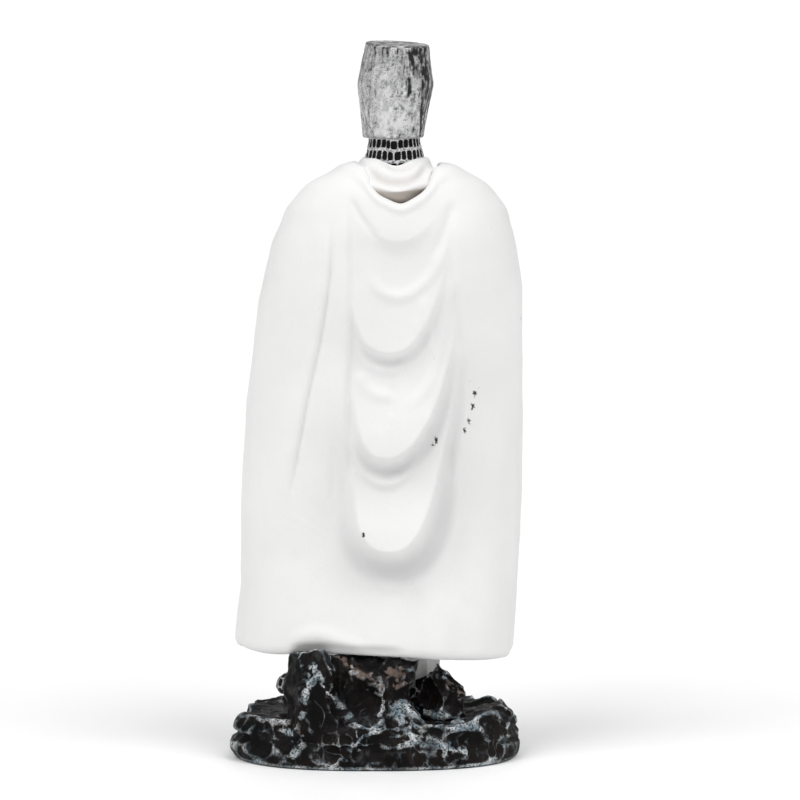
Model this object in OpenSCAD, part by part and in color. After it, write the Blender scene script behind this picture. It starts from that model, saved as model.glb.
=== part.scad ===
// Painted display miniature of a standing knight on a rock base, about 1:20.
// Cast resin pieces, brass wire pins, a steel weight and a felt pad.
// The knight faces -Y. The origin is on the table under the middle of the base.

/* [Base] */
// Width of the rock base, side to side
base_w = 41.2; // [40:0.2:42]
// Depth of the rock base, front to back
base_d = 31.6; // [31:0.2:33]
// Height of the ground that the knight stands on
ground_h = 7; // [6.8:0.1:7.2]
// Thickness of the felt pad under the base
felt_t = 0.8; // [0.6:0.1:1]
// Radius of the steel weight in the underside
weight_r = 8; // [6:0.5:9]
// Thickness of the steel weight
weight_t = 2.6; // [2:0.2:3.2]

/* [Body] */
// Sideways place of the knight's spine from the middle of the base
body_x = -2.6; // [-3:0.1:-2.2]
// Height of the top of the legs, under the mail skirt
leg_top_h = 27; // [26:0.5:28]
// Height of the belt's middle
waist_h = 57.6; // [57:0.2:58]
// Height of the shoulder pins
shoulder_h = 76.2; // [75.8:0.2:76.6]
// Height where the neck starts
neck_h = 81.6; // [81.4:0.1:82]

/* [Helm] */
// Height of the helm's lower rim
helm_rim_h = 86.8; // [86.6:0.1:87]
// Height of the helm's flat crown
crown_h = 100; // [99.5:0.1:100.5]
// Half width of the helm at its widest
helm_rx = 5.35; // [5.2:0.05:5.5]
// Half depth of the helm at its widest
helm_ry = 6.5; // [6.3:0.05:6.7]

/* [Cloak] */
// Thickness of the cast cloak
cloak_t = 1; // [0.8:0.05:1.1]
// Height of the hem at the middle of the back
hem_h = 14.8; // [14.6:0.1:15]
// Rise of the hem for each millimetre towards the knight's left
hem_slope = 0.06; // [0.04:0.01:0.08]

/* [Sword] */
// Height of the point of the blade
point_h = 7.1; // [7.1:0.1:7.4]
// Height of the underside of the cross guard
guard_h = 50.4; // [50:0.1:51]
// Width of the blade at the guard
blade_w = 2.3; // [2:0.1:2.6]

/* [Pins] */
// Radius of the thick brass pins
pin_r = 0.8; // [0.7:0.05:0.85]
// Radius of the thin brass pins
thin_pin_r = 0.5; // [0.4:0.05:0.55]

/* [Hidden] */
$fn = 32;

resin_white = [0.93, 0.93, 0.92];
steel_paint = [0.66, 0.66, 0.67];
mail_paint = [0.3, 0.3, 0.31];
rock_paint = [0.12, 0.11, 0.11];
leather_paint = [0.25, 0.15, 0.09];
gilt_paint = [0.72, 0.56, 0.25];
brass = [0.8, 0.65, 0.3];

// How far a cut or a seat runs past the face that it starts from
over = 0.2;
// Glue gap around pins and in sockets
gap = 0.05;
left = 1;
right = -1;

// ---- Shape helpers ----

function signed_power(v, p) = sign(v) * pow(abs(v), p);

// A closed ring at height z: an oval with centre c, half sizes rx and ry, and squareness e (2 is an ellipse)
function oval(c, rx, ry, z, e = 2, n = 28) = [
    for (i = [0:n - 1]) let (a = 360 * i / n)
        [c.x + rx * signed_power(cos(a), 2 / e), c.y + ry * signed_power(sin(a), 2 / e), z]
];

// A solid skinned over rings of equal length, lowest first
module loft(rings) {
    n = len(rings[0]);
    ends = [[for (i = [0:n - 1]) i], [for (i = [n - 1:-1:0]) (len(rings) - 1) * n + i]];
    polyhedron([for (r = rings) each r], concat(loft_walls(rings), ends));
}

function loft_walls(rings) = let (n = len(rings[0]), m = len(rings)) [
    for (j = [0:m - 2], i = [0:n - 1]) let (k = (i + 1) % n)
        each [[j * n + i, (j + 1) * n + i, (j + 1) * n + k], [j * n + i, (j + 1) * n + k, j * n + k]]
];

// A bent sheet skinned over rings that run out along one face and back along the other, lowest first
module sheet_loft(rings) {
    n = len(rings[0]);
    top = (len(rings) - 1) * n;
    ends = [for (i = [0:n / 2 - 2])
        each [[i, i + 1, n - 1 - i], [i + 1, n - 2 - i, n - 1 - i],
            [top + n - 1 - i, top + i + 1, top + i], [top + n - 1 - i, top + n - 2 - i, top + i + 1]]];
    polyhedron([for (r = rings) each r], concat(loft_walls(rings), ends));
}

// A loft from rows of [height, centre x, centre y, half width, half depth]
module oval_loft(rows, e = 2, n = 28)
    loft([for (r = rows) oval([r[1], r[2]], r[3], r[4], r[0], e, n)]);

// Keeps a freeform casting as one mesh, so that cuts between castings meet face to face
module casting() resize([0, 0, 0]) children();

// A round-ended limb from a to b
module limb(a, b, ra, rb) hull() {
    translate(a) sphere(ra, $fn = 20);
    translate(b) sphere(rb, $fn = 20);
}

// A straight pin of radius r from a to b
module pin(a, b, r) {
    d = b - a;
    h = norm(d);
    translate(a)
        rotate([0, acos(d.z / h), atan2(d.y, d.x)])
            cylinder(r = r, h = h);
}

// ---- Base ----

base_e = 2.5;
// [height, share of the full outline]
base_rows = [[felt_t, 0.955], [1.8, 0.99], [4, 1], [5.6, 0.97], [ground_h, 0.9]];

// The outline wanders in and out by a few percent, as rock does
function ragged(a, share) = share * (1 + 0.012 * sin(3 * a + 40) + 0.01 * sin(7 * a));

function base_ring(z, share, n = 56) = [
    for (i = [0:n - 1]) let (a = 360 * i / n, k = ragged(a, share) / 1.02)
        [k * base_w / 2 * signed_power(cos(a), 2 / base_e),
         k * base_d / 2 * signed_power(sin(a), 2 / base_e), z]
];

module rock_base() color(rock_paint) difference() {
    loft([for (r = base_rows) base_ring(r[0], r[1])]);
    weight_space(over);
    for (side = [left, right]) foot_pin(side, gap);
}

// Recess for the weight, reaching drop below its underside
module weight_space(drop) translate([0, 0, felt_t - drop])
    cylinder(r = weight_r, h = weight_t + drop, $fn = 64);

module base_weight() color("silver") weight_space(0);

module felt_pad() color([0.1, 0.12, 0.1]) linear_extrude(felt_t)
    polygon([for (p = base_ring(0, 0.945)) [p.x, p.y]]);

// A boulder is the hull of its corners, each a little rounded
module boulder(corners, r = 0.5) hull()
    for (p = corners) translate(p) sphere(r, $fn = 14);

module rear_boulder() color(rock_paint) casting() difference() {
    union() {
        boulder([[6.6, 12.2, 15.8], [10.6, 10.6, 13.2], [12.1, 11, 10], [11, 8, 7], [9, 13.4, 7],
            [4.4, 14.6, 4], [4, 8.5, 13.8], [2.4, 13.4, 7.6], [9.2, 9.6, 14.2]]);
        boulder([[4.2, 7, 13.6], [-6, 7.4, 13.4], [-4, 9.2, 13], [3, 9.4, 13.2], [-3, 13.6, 7],
            [3.5, 13.8, 7], [5, 6, 7], [-5, 6, 7]]);
        boulder([[-4, 13.5, 5.2], [-10, 11.5, 5.5], [-3, 9.5, 9], [3, 14.2, 5.4], [-8, 9, 7.5], [2, 9.5, 8]]);
    }
    ground();
}

module side_outcrop() color(rock_paint) casting() difference() {
    union() {
        boulder([[-8, 4.5, 12], [-6.6, 6.4, 12.2], [-9.2, 6.4, 12.3], [-11.9, 4.4, 8], [-5, 4.5, 7],
            [-9.5, 8.4, 7.5], [-11.2, 4.4, 10.4], [-11.6, 7, 7.6]]);
        translate([-8.4, 6.2, 10]) cylinder(r1 = 0.75, r2 = 0.65, h = hem_h - 10.3, $fn = 14);
    }
    ground();
    rear_boulder();
}

// Everything that the ground of the base fills
module ground() loft([for (r = base_rows) base_ring(r[0], r[1])]);

// ---- Legs ----

ankle_h = 11.4;
foot_r = 1.7;
function ankle(side) = side > 0 ? [4.2, -1.8] : [-5.8, -2];
function toe(side) = side > 0 ? [12.6, -9.9] : [-9.2, -12.6];
function heel(side) = side > 0 ? [3.8, -1] : [-5.4, -0.9];
function knee(side) = side > 0 ? [2.6, -2.4] : [-6.6, -2.6];

// [height, radius, share of the way from knee to ankle] up the shin
leg_rows = [[9, 1.9, 1], [ankle_h, 1.8, 1], [16, 2.3, 0.78], [21, 2.8, 0.45], [leg_top_h, 2.7, 0.1]];

module leg(side) color(mail_paint) difference() {
    casting() difference() {
        union() {
            oval_loft([for (r = leg_rows) let (c = knee(side) + (ankle(side) - knee(side)) * r[2])
                [r[0], c.x, c.y, r[1], r[1] * 1.1]], n = 20);
            hull() {
                translate([ankle(side).x, ankle(side).y, 9.6]) sphere(1.9, $fn = 20);
                translate([heel(side).x, heel(side).y, ground_h + 1.2]) sphere(foot_r, $fn = 20);
                translate([toe(side).x, toe(side).y, ground_h + 0.9]) sphere(foot_r, $fn = 20);
            }
        }
        translate([-20, -20, 0]) cube([40, 40, ground_h]);
    }
    foot_pin(side, gap);
    leg_pin(side, gap);
}

module left_leg() leg(left);
module right_leg() leg(right);

module foot_pin(side, extra) let (c = ankle(side))
    pin([c.x, c.y, ground_h - 2.6], [c.x, c.y, ground_h + 4], pin_r + extra);

module leg_pin(side, extra) let (c = knee(side) + (ankle(side) - knee(side)) * 0.1)
    pin([c.x, c.y, leg_top_h - 4], [c.x, c.y, leg_top_h + 4], pin_r + extra);

module foot_pins() color(brass) for (side = [left, right]) foot_pin(side, 0);
module leg_pins() color(brass) for (side = [left, right]) leg_pin(side, 0);

// ---- Mail skirt and surcoat ----

waist_rx = 6.3;
waist_ry = 4.7;
skirt_t = 0.75;
belt_w = 2;
waist_lo = waist_h - belt_w / 2;
waist_hi = waist_h + belt_w / 2;

// Outer surface of the surcoat's skirt, hem first: [height, centre x, centre y, half width, half depth]
skirt_rows = [[11.2, -0.9, -1.6, 7.9, 6.4], [20, -1.1, -1.5, 7.9, 6.4], [32, -1.7, -1.1, 7.8, 6.2],
    [44, -2.3, -0.6, 7.4, 5.7], [52, body_x, -0.2, 6.8, 5.1], [waist_h, body_x, 0, waist_rx, waist_ry]];

function inset(rows, t) = [for (r = rows) [r[0], r[1], r[2], r[3] - t, r[4] - t]];

module mail_skirt() color(mail_paint) difference() {
    casting() intersection() {
        oval_loft(inset(skirt_rows, skirt_t + gap));
        translate([-20, -20, leg_top_h]) cube([40, 40, waist_h - leg_top_h]);
    }
    for (side = [left, right]) leg_pin(side, gap);
    waist_pin_shape(gap);
}

// The wedge that opens the skirt at the front, from the hem to below the belt
module front_slit() translate([body_x + 0.6, 0, 0]) rotate([90, 0, 0]) linear_extrude(12)
    polygon([[-3.2, 10], [3.2, 10], [0.3, 43], [-0.3, 43]]);

module surcoat_skirt() color(resin_white) casting() difference() {
    oval_loft(skirt_rows, n = 36);
    oval_loft(concat([let (r = inset(skirt_rows, skirt_t)[0]) [r[0] - over, r[1], r[2], r[3], r[4]]],
        inset(skirt_rows, skirt_t), [[waist_h + over, body_x, 0, waist_rx - skirt_t, waist_ry - skirt_t]]), n = 36);
    front_slit();
}

module waist_pin_shape(extra) pin([body_x, 0, waist_h - 5], [body_x, 0, waist_h + 6], pin_r + extra);
module waist_pin() color(brass) waist_pin_shape(0);

// ---- Torso ----

torso_rows = [[waist_h, body_x, 0, waist_rx, waist_ry], [waist_hi, body_x, 0, waist_rx, waist_ry],
    [65, body_x, 0, 7.3, 5], [71, body_x, 0, 8.4, 5.3], [76, body_x, 0, 9, 4.9],
    [79.4, body_x, 0.2, 8, 4.2], [neck_h, body_x, 0.3, 4.6, 3.6]];

module torso_body() oval_loft(torso_rows, e = 2.2);

module surcoat_torso() color(resin_white) difference() {
    torso_body();
    waist_pin_shape(gap);
    neck_pin_shape(gap);
    for (side = [left, right]) shoulder_pin(side, gap);
    for (side = [left, right]) cloak_pin(side, gap);
}

// ---- Belt ----

belt_t = 0.5;

module belt() color(leather_paint) casting() difference() {
    oval_loft([for (z = [waist_lo, waist_hi]) [z, body_x, 0, waist_rx + belt_t, waist_ry + belt_t]], n = 36);
    oval_loft([for (z = [waist_lo - over, waist_hi + over]) [z, body_x, 0, waist_rx + 0.1, waist_ry + 0.1]], n = 36);
    oval_loft(skirt_rows, n = 36);
}

buckle_y = -waist_ry - belt_t - 0.35;

module belt_buckle() color(gilt_paint) translate([body_x, buckle_y, waist_h]) difference() {
    cube([2.8, 0.7, 2.9], center = true);
    cube([1.7, 2, 1.8], center = true);
}

// Strap end that hangs from the buckle down the front of the skirt
module belt_tail() color(leather_paint) casting() difference() {
    hull() {
        translate([body_x + 2, -5.9, waist_h + 0.4]) cube([1.3, 0.5, 1], center = true);
        translate([body_x + 2.1, -6.75, 44.5]) cube([1.3, 0.5, 1], center = true);
    }
    oval_loft(inset(skirt_rows, -0.05), n = 36);
    belt_band();
}

module belt_band()
    oval_loft([for (z = [waist_lo, waist_hi]) [z, body_x, 0, waist_rx + belt_t, waist_ry + belt_t]], n = 36);

// ---- Scabbard ----

scabbard_mouth = [body_x + 8.1, -2.2, 56.5];
scabbard_tip = [body_x + 14.3, 1.4, 16.4];

function along_scabbard(t) = scabbard_mouth + (scabbard_tip - scabbard_mouth) * t;

// A stretch of scabbard between two shares of its length, grown by extra all round
module scabbard_stretch(from, to, extra) hull() for (t = [from, to])
    translate(along_scabbard(t)) rotate([0, 0, 65])
        scale([1.25 - 0.35 * t + extra, 0.62 - 0.1 * t + extra, 1]) cylinder(r = 1, h = 0.4, $fn = 20);

module scabbard() color(leather_paint) scabbard_stretch(0, 1, 0);

module scabbard_straps() color(gilt_paint) casting() for (t = [0.05, 0.17]) difference() {
    scabbard_stretch(t, t + 0.035, 0.3);
    scabbard_stretch(t - 0.02, t + 0.055, 0);
    oval_loft(skirt_rows, n = 36);
    belt_band();
}

// ---- Arms and hands ----

function shoulder(side) = [body_x + side * 10, 0, shoulder_h];
function elbow(side) = [body_x + side * 14.1, 1, 62.8];
function wrist(side) = [body_x + side * 4.5, -9.6, 61.6];
function palm(side) = [body_x - side * 0.5, -12.9, side > 0 ? 63.4 : 61.9];

module arm(side) color(mail_paint) difference() {
    casting() difference() {
        union() {
            limb(shoulder(side), elbow(side), 3, 2.5);
            limb(elbow(side), wrist(side), 2.5, 1.7);
        }
        torso_body();
        hand_shape(side);
    }
    shoulder_pin(side, gap);
    wrist_pin(side, gap);
}

module left_arm() arm(left);
module right_arm() arm(right);

module shoulder_pin(side, extra)
    pin([body_x + side * 5.5, 0, shoulder_h], [body_x + side * 11.5, 0, shoulder_h], pin_r + extra);
module shoulder_pins() color(brass) for (side = [left, right]) shoulder_pin(side, 0);

// A mitten from the wrist to the finger ends, palm down over the pommel
module hand_shape(side) let (w = wrist(side), p = palm(side), d = (p - w) / norm(p - w)) hull() {
    translate(w + d * 1.3) sphere(1.5, $fn = 16);
    translate(p + [0, 0.3, 0]) scale([1.9, 1.8, 0.95]) sphere(1, $fn = 16);
    translate(p + [-side * 1.2, -1, -0.5]) scale([1.3, 1, 0.85]) sphere(1, $fn = 16);
}

module left_hand() color(mail_paint) difference() {
    casting() difference() {
        hand_shape(left);
        hand_shape(right);
    }
    wrist_pin(left, gap);
}

module right_hand() color(mail_paint) difference() {
    casting() difference() {
        hand_shape(right);
        pommel(0);
    }
    wrist_pin(right, gap);
}

module wrist_pin(side, extra) let (w = wrist(side), p = palm(side), d = (p - w) / norm(p - w))
    pin(w - d * 1.2, w + d * 2.4, thin_pin_r + extra);
module wrist_pins() color(brass) for (side = [left, right]) wrist_pin(side, 0);

// ---- Sword ----

sword_y = -13;
grip_top = 58.6;
guard_t = 1;
pommel_r = 1.75;

module sword_blade() color(steel_paint) loft([
    for (r = [[point_h, 0.25, 0.15], [point_h + 3.2, 0.75, 0.28], [guard_h, blade_w / 2, 0.42]])
        [for (q = [[1, 0], [0.35, 1], [-0.35, 1], [-1, 0], [-0.35, -1], [0.35, -1]])
            [body_x + q.x * r[1], sword_y + q.y * r[2], r[0]]]
]);

module sword_hilt() color(gilt_paint) {
    translate([body_x - 4.4, sword_y - guard_t / 2, guard_h]) cube([8.8, guard_t, guard_t]);
    translate([body_x, sword_y, guard_h + guard_t / 2]) cylinder(r = 0.7, h = grip_top - guard_h);
    pommel(0);
}

module pommel(extra) translate([body_x, sword_y + 0.6 + extra, grip_top + 0.9]) rotate([90, 0, 0])
    cylinder(r = pommel_r + extra, h = 1.2 + 2 * extra, $fn = 48);

// ---- Coif and helm ----

head = [body_x, 0];
spigot_r = 2.4;
cavity_top_h = 90.6;

module mail_coif() color(mail_paint) difference() {
    union() {
        coif_body();
        translate([head.x, head.y, 89]) cylinder(r = spigot_r, h = 4.5);
    }
    neck_pin_shape(gap);
}

module coif_body() oval_loft([[neck_h, head.x, 0.3, 4.6, 3.6], [83.4, head.x, 0.2, 4.1, 4.1],
    [85, head.x, 0, 3.75, 4.1], [89.6, head.x, 0, 3.7, 4.1]]);

module neck_pin_shape(extra) pin([head.x, 0.2, neck_h - 5], [head.x, 0.2, neck_h + 5], pin_r + extra);
module neck_pin() color(brass) neck_pin_shape(0);

helm_rows = [[helm_rim_h, 4.35, 5.4], [94.4, helm_rx, helm_ry], [crown_h - 0.5, 4.55, 5.6], [crown_h, 4.3, 5.35]];

module helm_body() loft([for (r = helm_rows) oval([head.x, head.y - 0.4], r[1], r[2], r[0], 2.2, 40)]);

// Two eye slits either side of the nasal bar
module eye_slits() for (side = [left, right])
    translate([head.x + side * 2.1, -6.5, 94.6]) cube([3.2, 2.6, 0.55], center = true);

module great_helm() color(steel_paint) difference() {
    casting() difference() {
        helm_body();
        oval_loft([[helm_rim_h - over, head.x, -0.2, 3.9, 4.6], [cavity_top_h, head.x, -0.2, 4.2, 4.8]]);
        eye_slits();
    }
    translate([head.x, head.y, cavity_top_h - over]) cylinder(r = spigot_r + gap, h = 93.6 - cavity_top_h + over);
}

// ---- Cloak ----

side_top_h = 83.2;
neck_scoop = 4.4;

// [height, half width] on the knight's left and right, [height, half depth] at the back and front
cloak_left = [[14, 22.4], [24, 21.2], [36, 21.2], [50, 20.5], [64, 18.9], [72, 17.1], [77, 15.1], [80.5, 12.2],
    [82.2, 8.8], [83.2, 6.2], [84, 4.8]];
cloak_right = [[14, 16.6], [24, 17.3], [36, 17.9], [50, 18.1], [66, 18.1], [72, 17.2], [77, 15.8], [80.5, 13],
    [82.2, 10], [83.2, 6.6], [84, 4.8]];
cloak_back = [[14, 11.2], [24, 10.6], [36, 10.2], [50, 10.2], [66, 10.2], [74, 9.8], [79, 8.4], [82, 6.8], [84, 5.2]];
cloak_front = [[14, 9.5], [36, 9.6], [60, 9.4], [70, 8.4], [76, 7], [80, 6], [84, 4.6]];
// Angle by which each front edge wraps round past the knight's side
wrap = [[14, 44], [40, 42], [62, 38], [70, 46], [76, 62], [80, 74], [84, 78]];
cloak_e = 2.4;

// The neckline runs level over the shoulders and dips at the back and the front
function cloak_top(a) = side_top_h - neck_scoop * pow(sin(a), 4);

function half_width(a, z) = lookup(z, cos(a) > 0 ? cloak_left : cloak_right);
function half_depth(a, z) = lookup(z, sin(a) > 0 ? cloak_back : cloak_front);

// How fast the outline draws in with height at angle a: 0 on the hanging part, large on top of the shoulders
draw_step = 1.5;
function draw_in(a, z) = let (s = pow(sin(a), 2)) (
    s * (half_depth(a, z - draw_step) - half_depth(a, z))
    + (1 - s) * (half_width(a, z - draw_step) - half_width(a, z))) / draw_step;

// A point of the cloak's surface, u from the left front edge to the right one, v from hem to neck. With t above 0
// it lies t deeper, square to the surface, which is down rather than inwards on top of the shoulders.
function cloak_point(u, v, t) = let (
    z0 = hem_h + (side_top_h - hem_h) * v,
    w = lookup(z0, wrap),
    a = -w + (180 + 2 * w) * u,
    hem = hem_h + hem_slope * (body_x + 20 * cos(a)),
    z = hem + (cloak_top(a) - hem) * v,
    steep = sqrt(1 + pow(draw_in(a, z), 2)),
    rx = half_width(a, z) - t / steep,
    ry = half_depth(a, z) - t / steep
) [body_x + rx * signed_power(cos(a), 2 / cloak_e), ry * signed_power(sin(a), 2 / cloak_e),
    z - (v == 0 ? 0 : t * draw_in(a, z) / steep)];

cloak_nu = 36;
// Rows are closer together near the shoulders
cloak_v = [for (j = [0:21]) let (s = j / 21) 1.35 * s - 0.35 * s * s];

// Thin solid between the outer surface and one inside it: each row is a closed ring, out along u and back
module cloak_shell(t) sheet_loft([for (v = cloak_v)
    concat([for (i = [0:cloak_nu]) cloak_point(i / cloak_nu, v, 0)],
        [for (i = [cloak_nu:-1:0]) cloak_point(i / cloak_nu, v, t)])]);

module cloak() color(resin_white) difference() {
    cloak_shell(cloak_t);
    for (side = [left, right]) cloak_pin(side, gap);
}

module cloak_pin(side, extra)
    pin([body_x + side * 4, 2.6, 71], [body_x + side * 4, 9.25, 71], thin_pin_r + extra);
module cloak_pins() color(brass) for (side = [left, right]) cloak_pin(side, 0);

// ---- Cowl ----

// A soft roll round the neck, thick and low at the back, thin at the sides. One ring across the roll at angle a:
function cowl_ring(a, n = 16) = let (
    back = max(0, sin(a)), front = max(0, -sin(a)),
    r = 1.2 + 1.1 * back + 0.5 * front,
    c = [5.3 * cos(a), (5.2 + 0.7 * back) * sin(a) + 0.2, 83 - 1.9 * back - 2 * front]
) [for (i = [0:n - 1]) let (b = 360 * i / n)
    [head.x + c.x + r * cos(b) * cos(a), c.y + r * cos(b) * sin(a), c.z + r * sin(b)]];

// A closed tube skinned over a loop of rings
module closed_loft(rings) {
    n = len(rings[0]);
    m = len(rings);
    polyhedron([for (r = rings) each r], [
        for (j = [0:m - 1], i = [0:n - 1]) let (k = (i + 1) % n, l = (j + 1) % m)
            each [[j * n + i, j * n + k, l * n + k], [j * n + i, l * n + k, l * n + i]]
    ]);
}

module cowl() color(resin_white) casting() difference() {
    closed_loft([for (a = [0:12:348]) cowl_ring(a)]);
    torso_body();
    coif_body();
    under_cloak();
}

// Everything inside the cloak's outer surface, closed straight across its front opening
module under_cloak() loft([for (v = cloak_v) [for (i = [0:cloak_nu]) cloak_point(i / cloak_nu, v, 0)]]);

// ---- Cord and brooches ----

brooch_x = 5.2;
brooch_y = -6.9;
brooch_z = 78.2;
cord_sag = 1.6;
cord_r = 0.42;
cord_arc_r = (pow(brooch_x, 2) + pow(cord_sag, 2)) / (2 * cord_sag);
cord_half_angle = asin(brooch_x / cord_arc_r);

// The cord hangs in an arc between the brooches
module cloak_cord() color(gilt_paint) difference() {
    translate([body_x, brooch_y, brooch_z - cord_sag + cord_arc_r]) rotate([90, 0, 0])
        rotate([0, 0, -90 - cord_half_angle]) rotate_extrude(angle = 2 * cord_half_angle, $fn = 72)
            translate([cord_arc_r, 0]) circle(cord_r, $fn = 24);
    for (side = [left, right]) brooch_disc(side);
}

module brooch_disc(side) translate([body_x + side * (brooch_x + 0.7), brooch_y + 1.1, brooch_z])
    rotate([90, 0, 0]) cylinder(r = 1.2, h = 1.6);

module brooches() color(gilt_paint) difference() {
    for (side = [left, right]) brooch_disc(side);
    under_cloak();
}

// ---- Nodes ----

rock_base();
rear_boulder();
side_outcrop();
base_weight();
felt_pad();
foot_pins();
left_leg();
right_leg();
leg_pins();
mail_skirt();
surcoat_skirt();
waist_pin();
surcoat_torso();
belt();
belt_buckle();
belt_tail();
scabbard();
scabbard_straps();
left_arm();
right_arm();
shoulder_pins();
left_hand();
right_hand();
wrist_pins();
sword_blade();
sword_hilt();
mail_coif();
neck_pin();
great_helm();
cowl();
cloak();
cloak_pins();
cloak_cord();
brooches();
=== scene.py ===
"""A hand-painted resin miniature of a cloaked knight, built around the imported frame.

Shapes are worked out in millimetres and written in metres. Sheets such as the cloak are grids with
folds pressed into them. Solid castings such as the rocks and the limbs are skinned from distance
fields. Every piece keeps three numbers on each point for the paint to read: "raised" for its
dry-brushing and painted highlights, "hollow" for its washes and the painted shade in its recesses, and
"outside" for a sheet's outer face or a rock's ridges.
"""

import math

import bmesh
import bpy
import numpy as np
import openvdb as vdb
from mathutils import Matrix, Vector


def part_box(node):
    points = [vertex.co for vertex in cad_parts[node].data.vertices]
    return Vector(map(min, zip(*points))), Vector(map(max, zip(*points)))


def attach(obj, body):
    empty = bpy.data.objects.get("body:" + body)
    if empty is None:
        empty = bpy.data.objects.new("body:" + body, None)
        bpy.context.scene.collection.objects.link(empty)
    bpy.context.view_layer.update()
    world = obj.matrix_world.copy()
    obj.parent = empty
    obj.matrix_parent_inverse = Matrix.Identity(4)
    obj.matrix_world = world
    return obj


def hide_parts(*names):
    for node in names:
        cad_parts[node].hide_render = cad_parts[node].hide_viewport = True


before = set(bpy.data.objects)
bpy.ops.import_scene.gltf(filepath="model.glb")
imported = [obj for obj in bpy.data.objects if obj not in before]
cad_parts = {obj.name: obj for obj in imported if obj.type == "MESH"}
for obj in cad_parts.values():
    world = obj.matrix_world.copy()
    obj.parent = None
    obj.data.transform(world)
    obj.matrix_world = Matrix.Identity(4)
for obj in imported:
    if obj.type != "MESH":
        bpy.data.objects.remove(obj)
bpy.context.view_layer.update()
MM = 0.001


# ---- Numbers ----

def box_mm(node):
    """Lowest and highest corner of a CAD node, in millimetres."""
    lo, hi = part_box(node)
    return np.array(lo) / MM, np.array(hi) / MM


def smoothstep(a, b, x):
    t = np.clip((x - a) / (b - a), 0, 1)
    return t * t * (3 - 2 * t)


def bell(x, width):
    return np.exp(-(x / width) ** 2)


def smooth_max(a, b, k):
    h = np.clip(0.5 + 0.5 * (a - b) / k, 0, 1)
    return b + (a - b) * h + k * h * (1 - h)


def smooth_min(a, b, k):
    return -smooth_max(-a, -b, k)


def unit(v):
    v = np.asarray(v, float)
    return v / np.maximum(np.linalg.norm(v, axis=-1, keepdims=True), 1e-9)


def turns(count):
    """Angles spread evenly round a circle."""
    return np.linspace(0, 2 * math.pi, count, endpoint=False)


def joined(*parts):
    """Points from their coordinates, each a grid, or a number or row that is spread over the grid."""
    return np.stack(np.broadcast_arrays(*parts), -1)


def outline(rows, spread):
    """A smooth function through listed [place, value] rows, rounded over the given spread."""
    at = np.array([r[0] for r in rows], float)
    value = np.array([r[1] for r in rows], float)
    fine = np.linspace(at[0] - 2 * spread, at[-1] + 2 * spread, 600)
    raw = np.interp(fine, at, value)
    low = (value[1] - value[0]) / (at[1] - at[0])
    high = (value[-1] - value[-2]) / (at[-1] - at[-2])
    raw += np.where(fine < at[0], (fine - at[0]) * low, 0)
    raw += np.where(fine > at[-1], (fine - at[-1]) * high, 0)
    step = fine[1] - fine[0]
    reach = int(np.ceil(2 * spread / step))
    kernel = bell(np.arange(-reach, reach + 1) * step, spread)
    padded = np.concatenate([raw[0] + (raw[1] - raw[0]) * np.arange(-reach, 0), raw,
                             raw[-1] + (raw[-1] - raw[-2]) * np.arange(1, reach + 1)])
    soft = np.convolve(padded, kernel / kernel.sum(), "valid")
    return lambda x: np.interp(x, fine, soft)


def outlines(rows, spread):
    """One outline for each column of values in [place, value, value, ...] rows."""
    return [outline([[r[0], r[k]] for r in rows], spread) for k in range(1, len(rows[0]))]


LATTICE = 32


def value_noise(p, cell, seed):
    """Smooth noise from -1 to 1 with features about a cell wide."""
    table = np.random.RandomState(seed).rand(LATTICE, LATTICE, LATTICE).astype(np.float32) * 2 - 1
    q = p / cell
    i = np.floor(q).astype(np.int64)
    f = (q - i).astype(np.float32)
    f = f * f * (3 - 2 * f)
    a, b = i % LATTICE, (i + 1) % LATTICE
    total = 0
    for dx in (0, 1):
        for dy in (0, 1):
            for dz in (0, 1):
                corner = table[(b if dx else a)[..., 0], (b if dy else a)[..., 1], (b if dz else a)[..., 2]]
                weight = ((f if dx else 1 - f)[..., 0] * (f if dy else 1 - f)[..., 1]
                          * (f if dz else 1 - f)[..., 2])
                total = total + corner * weight
    return total


def fbm(p, cell, octaves, seed):
    return sum(value_noise(p, cell / 2 ** k, seed + k) * 0.5 ** k for k in range(octaves))


def through(points, samples):
    """A smooth path through given points: Catmull-Rom, evenly sampled."""
    p = np.array(points, float)
    p = np.vstack([2 * p[0] - p[1], p, 2 * p[-1] - p[-2]])
    out = []
    for k in range(1, len(p) - 2):
        t = np.linspace(0, 1, 24, endpoint=False)[:, None]
        a, b, c, d = p[k - 1], p[k], p[k + 1], p[k + 2]
        out.append(0.5 * (2 * b + (c - a) * t + (2 * a - 5 * b + 4 * c - d) * t ** 2
                          + (3 * b - a - 3 * c + d) * t ** 3))
    dense = np.vstack(out + [p[-2][None]])
    run = np.concatenate([[0], np.cumsum(np.linalg.norm(np.diff(dense, axis=0), axis=1))])
    want = np.linspace(0, run[-1], samples)
    return np.stack([np.interp(want, run, dense[:, k]) for k in range(p.shape[1])], axis=1)


def beside(points, path):
    """For points on a plane: their distance from a path, positive on its left, and how far along it
    they are, from 0 to 1."""
    tangent = unit(np.gradient(path, axis=0))
    near = np.empty(len(points), int)
    for start in range(0, len(points), 20000):
        part = points[start:start + 20000]
        near[start:start + 20000] = ((part[:, None] - path[None]) ** 2).sum(-1).argmin(1)
    off = points - path[near]
    across = tangent[near][:, 0] * off[:, 1] - tangent[near][:, 1] * off[:, 0]
    past = np.abs((off * tangent[near]).sum(1))
    ends = (near == 0) | (near == len(path) - 1)
    across = np.where(ends, np.sign(across + 1e-9) * np.hypot(across, past), across)
    return across, near / (len(path) - 1)


# ---- Meshes ----

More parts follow.
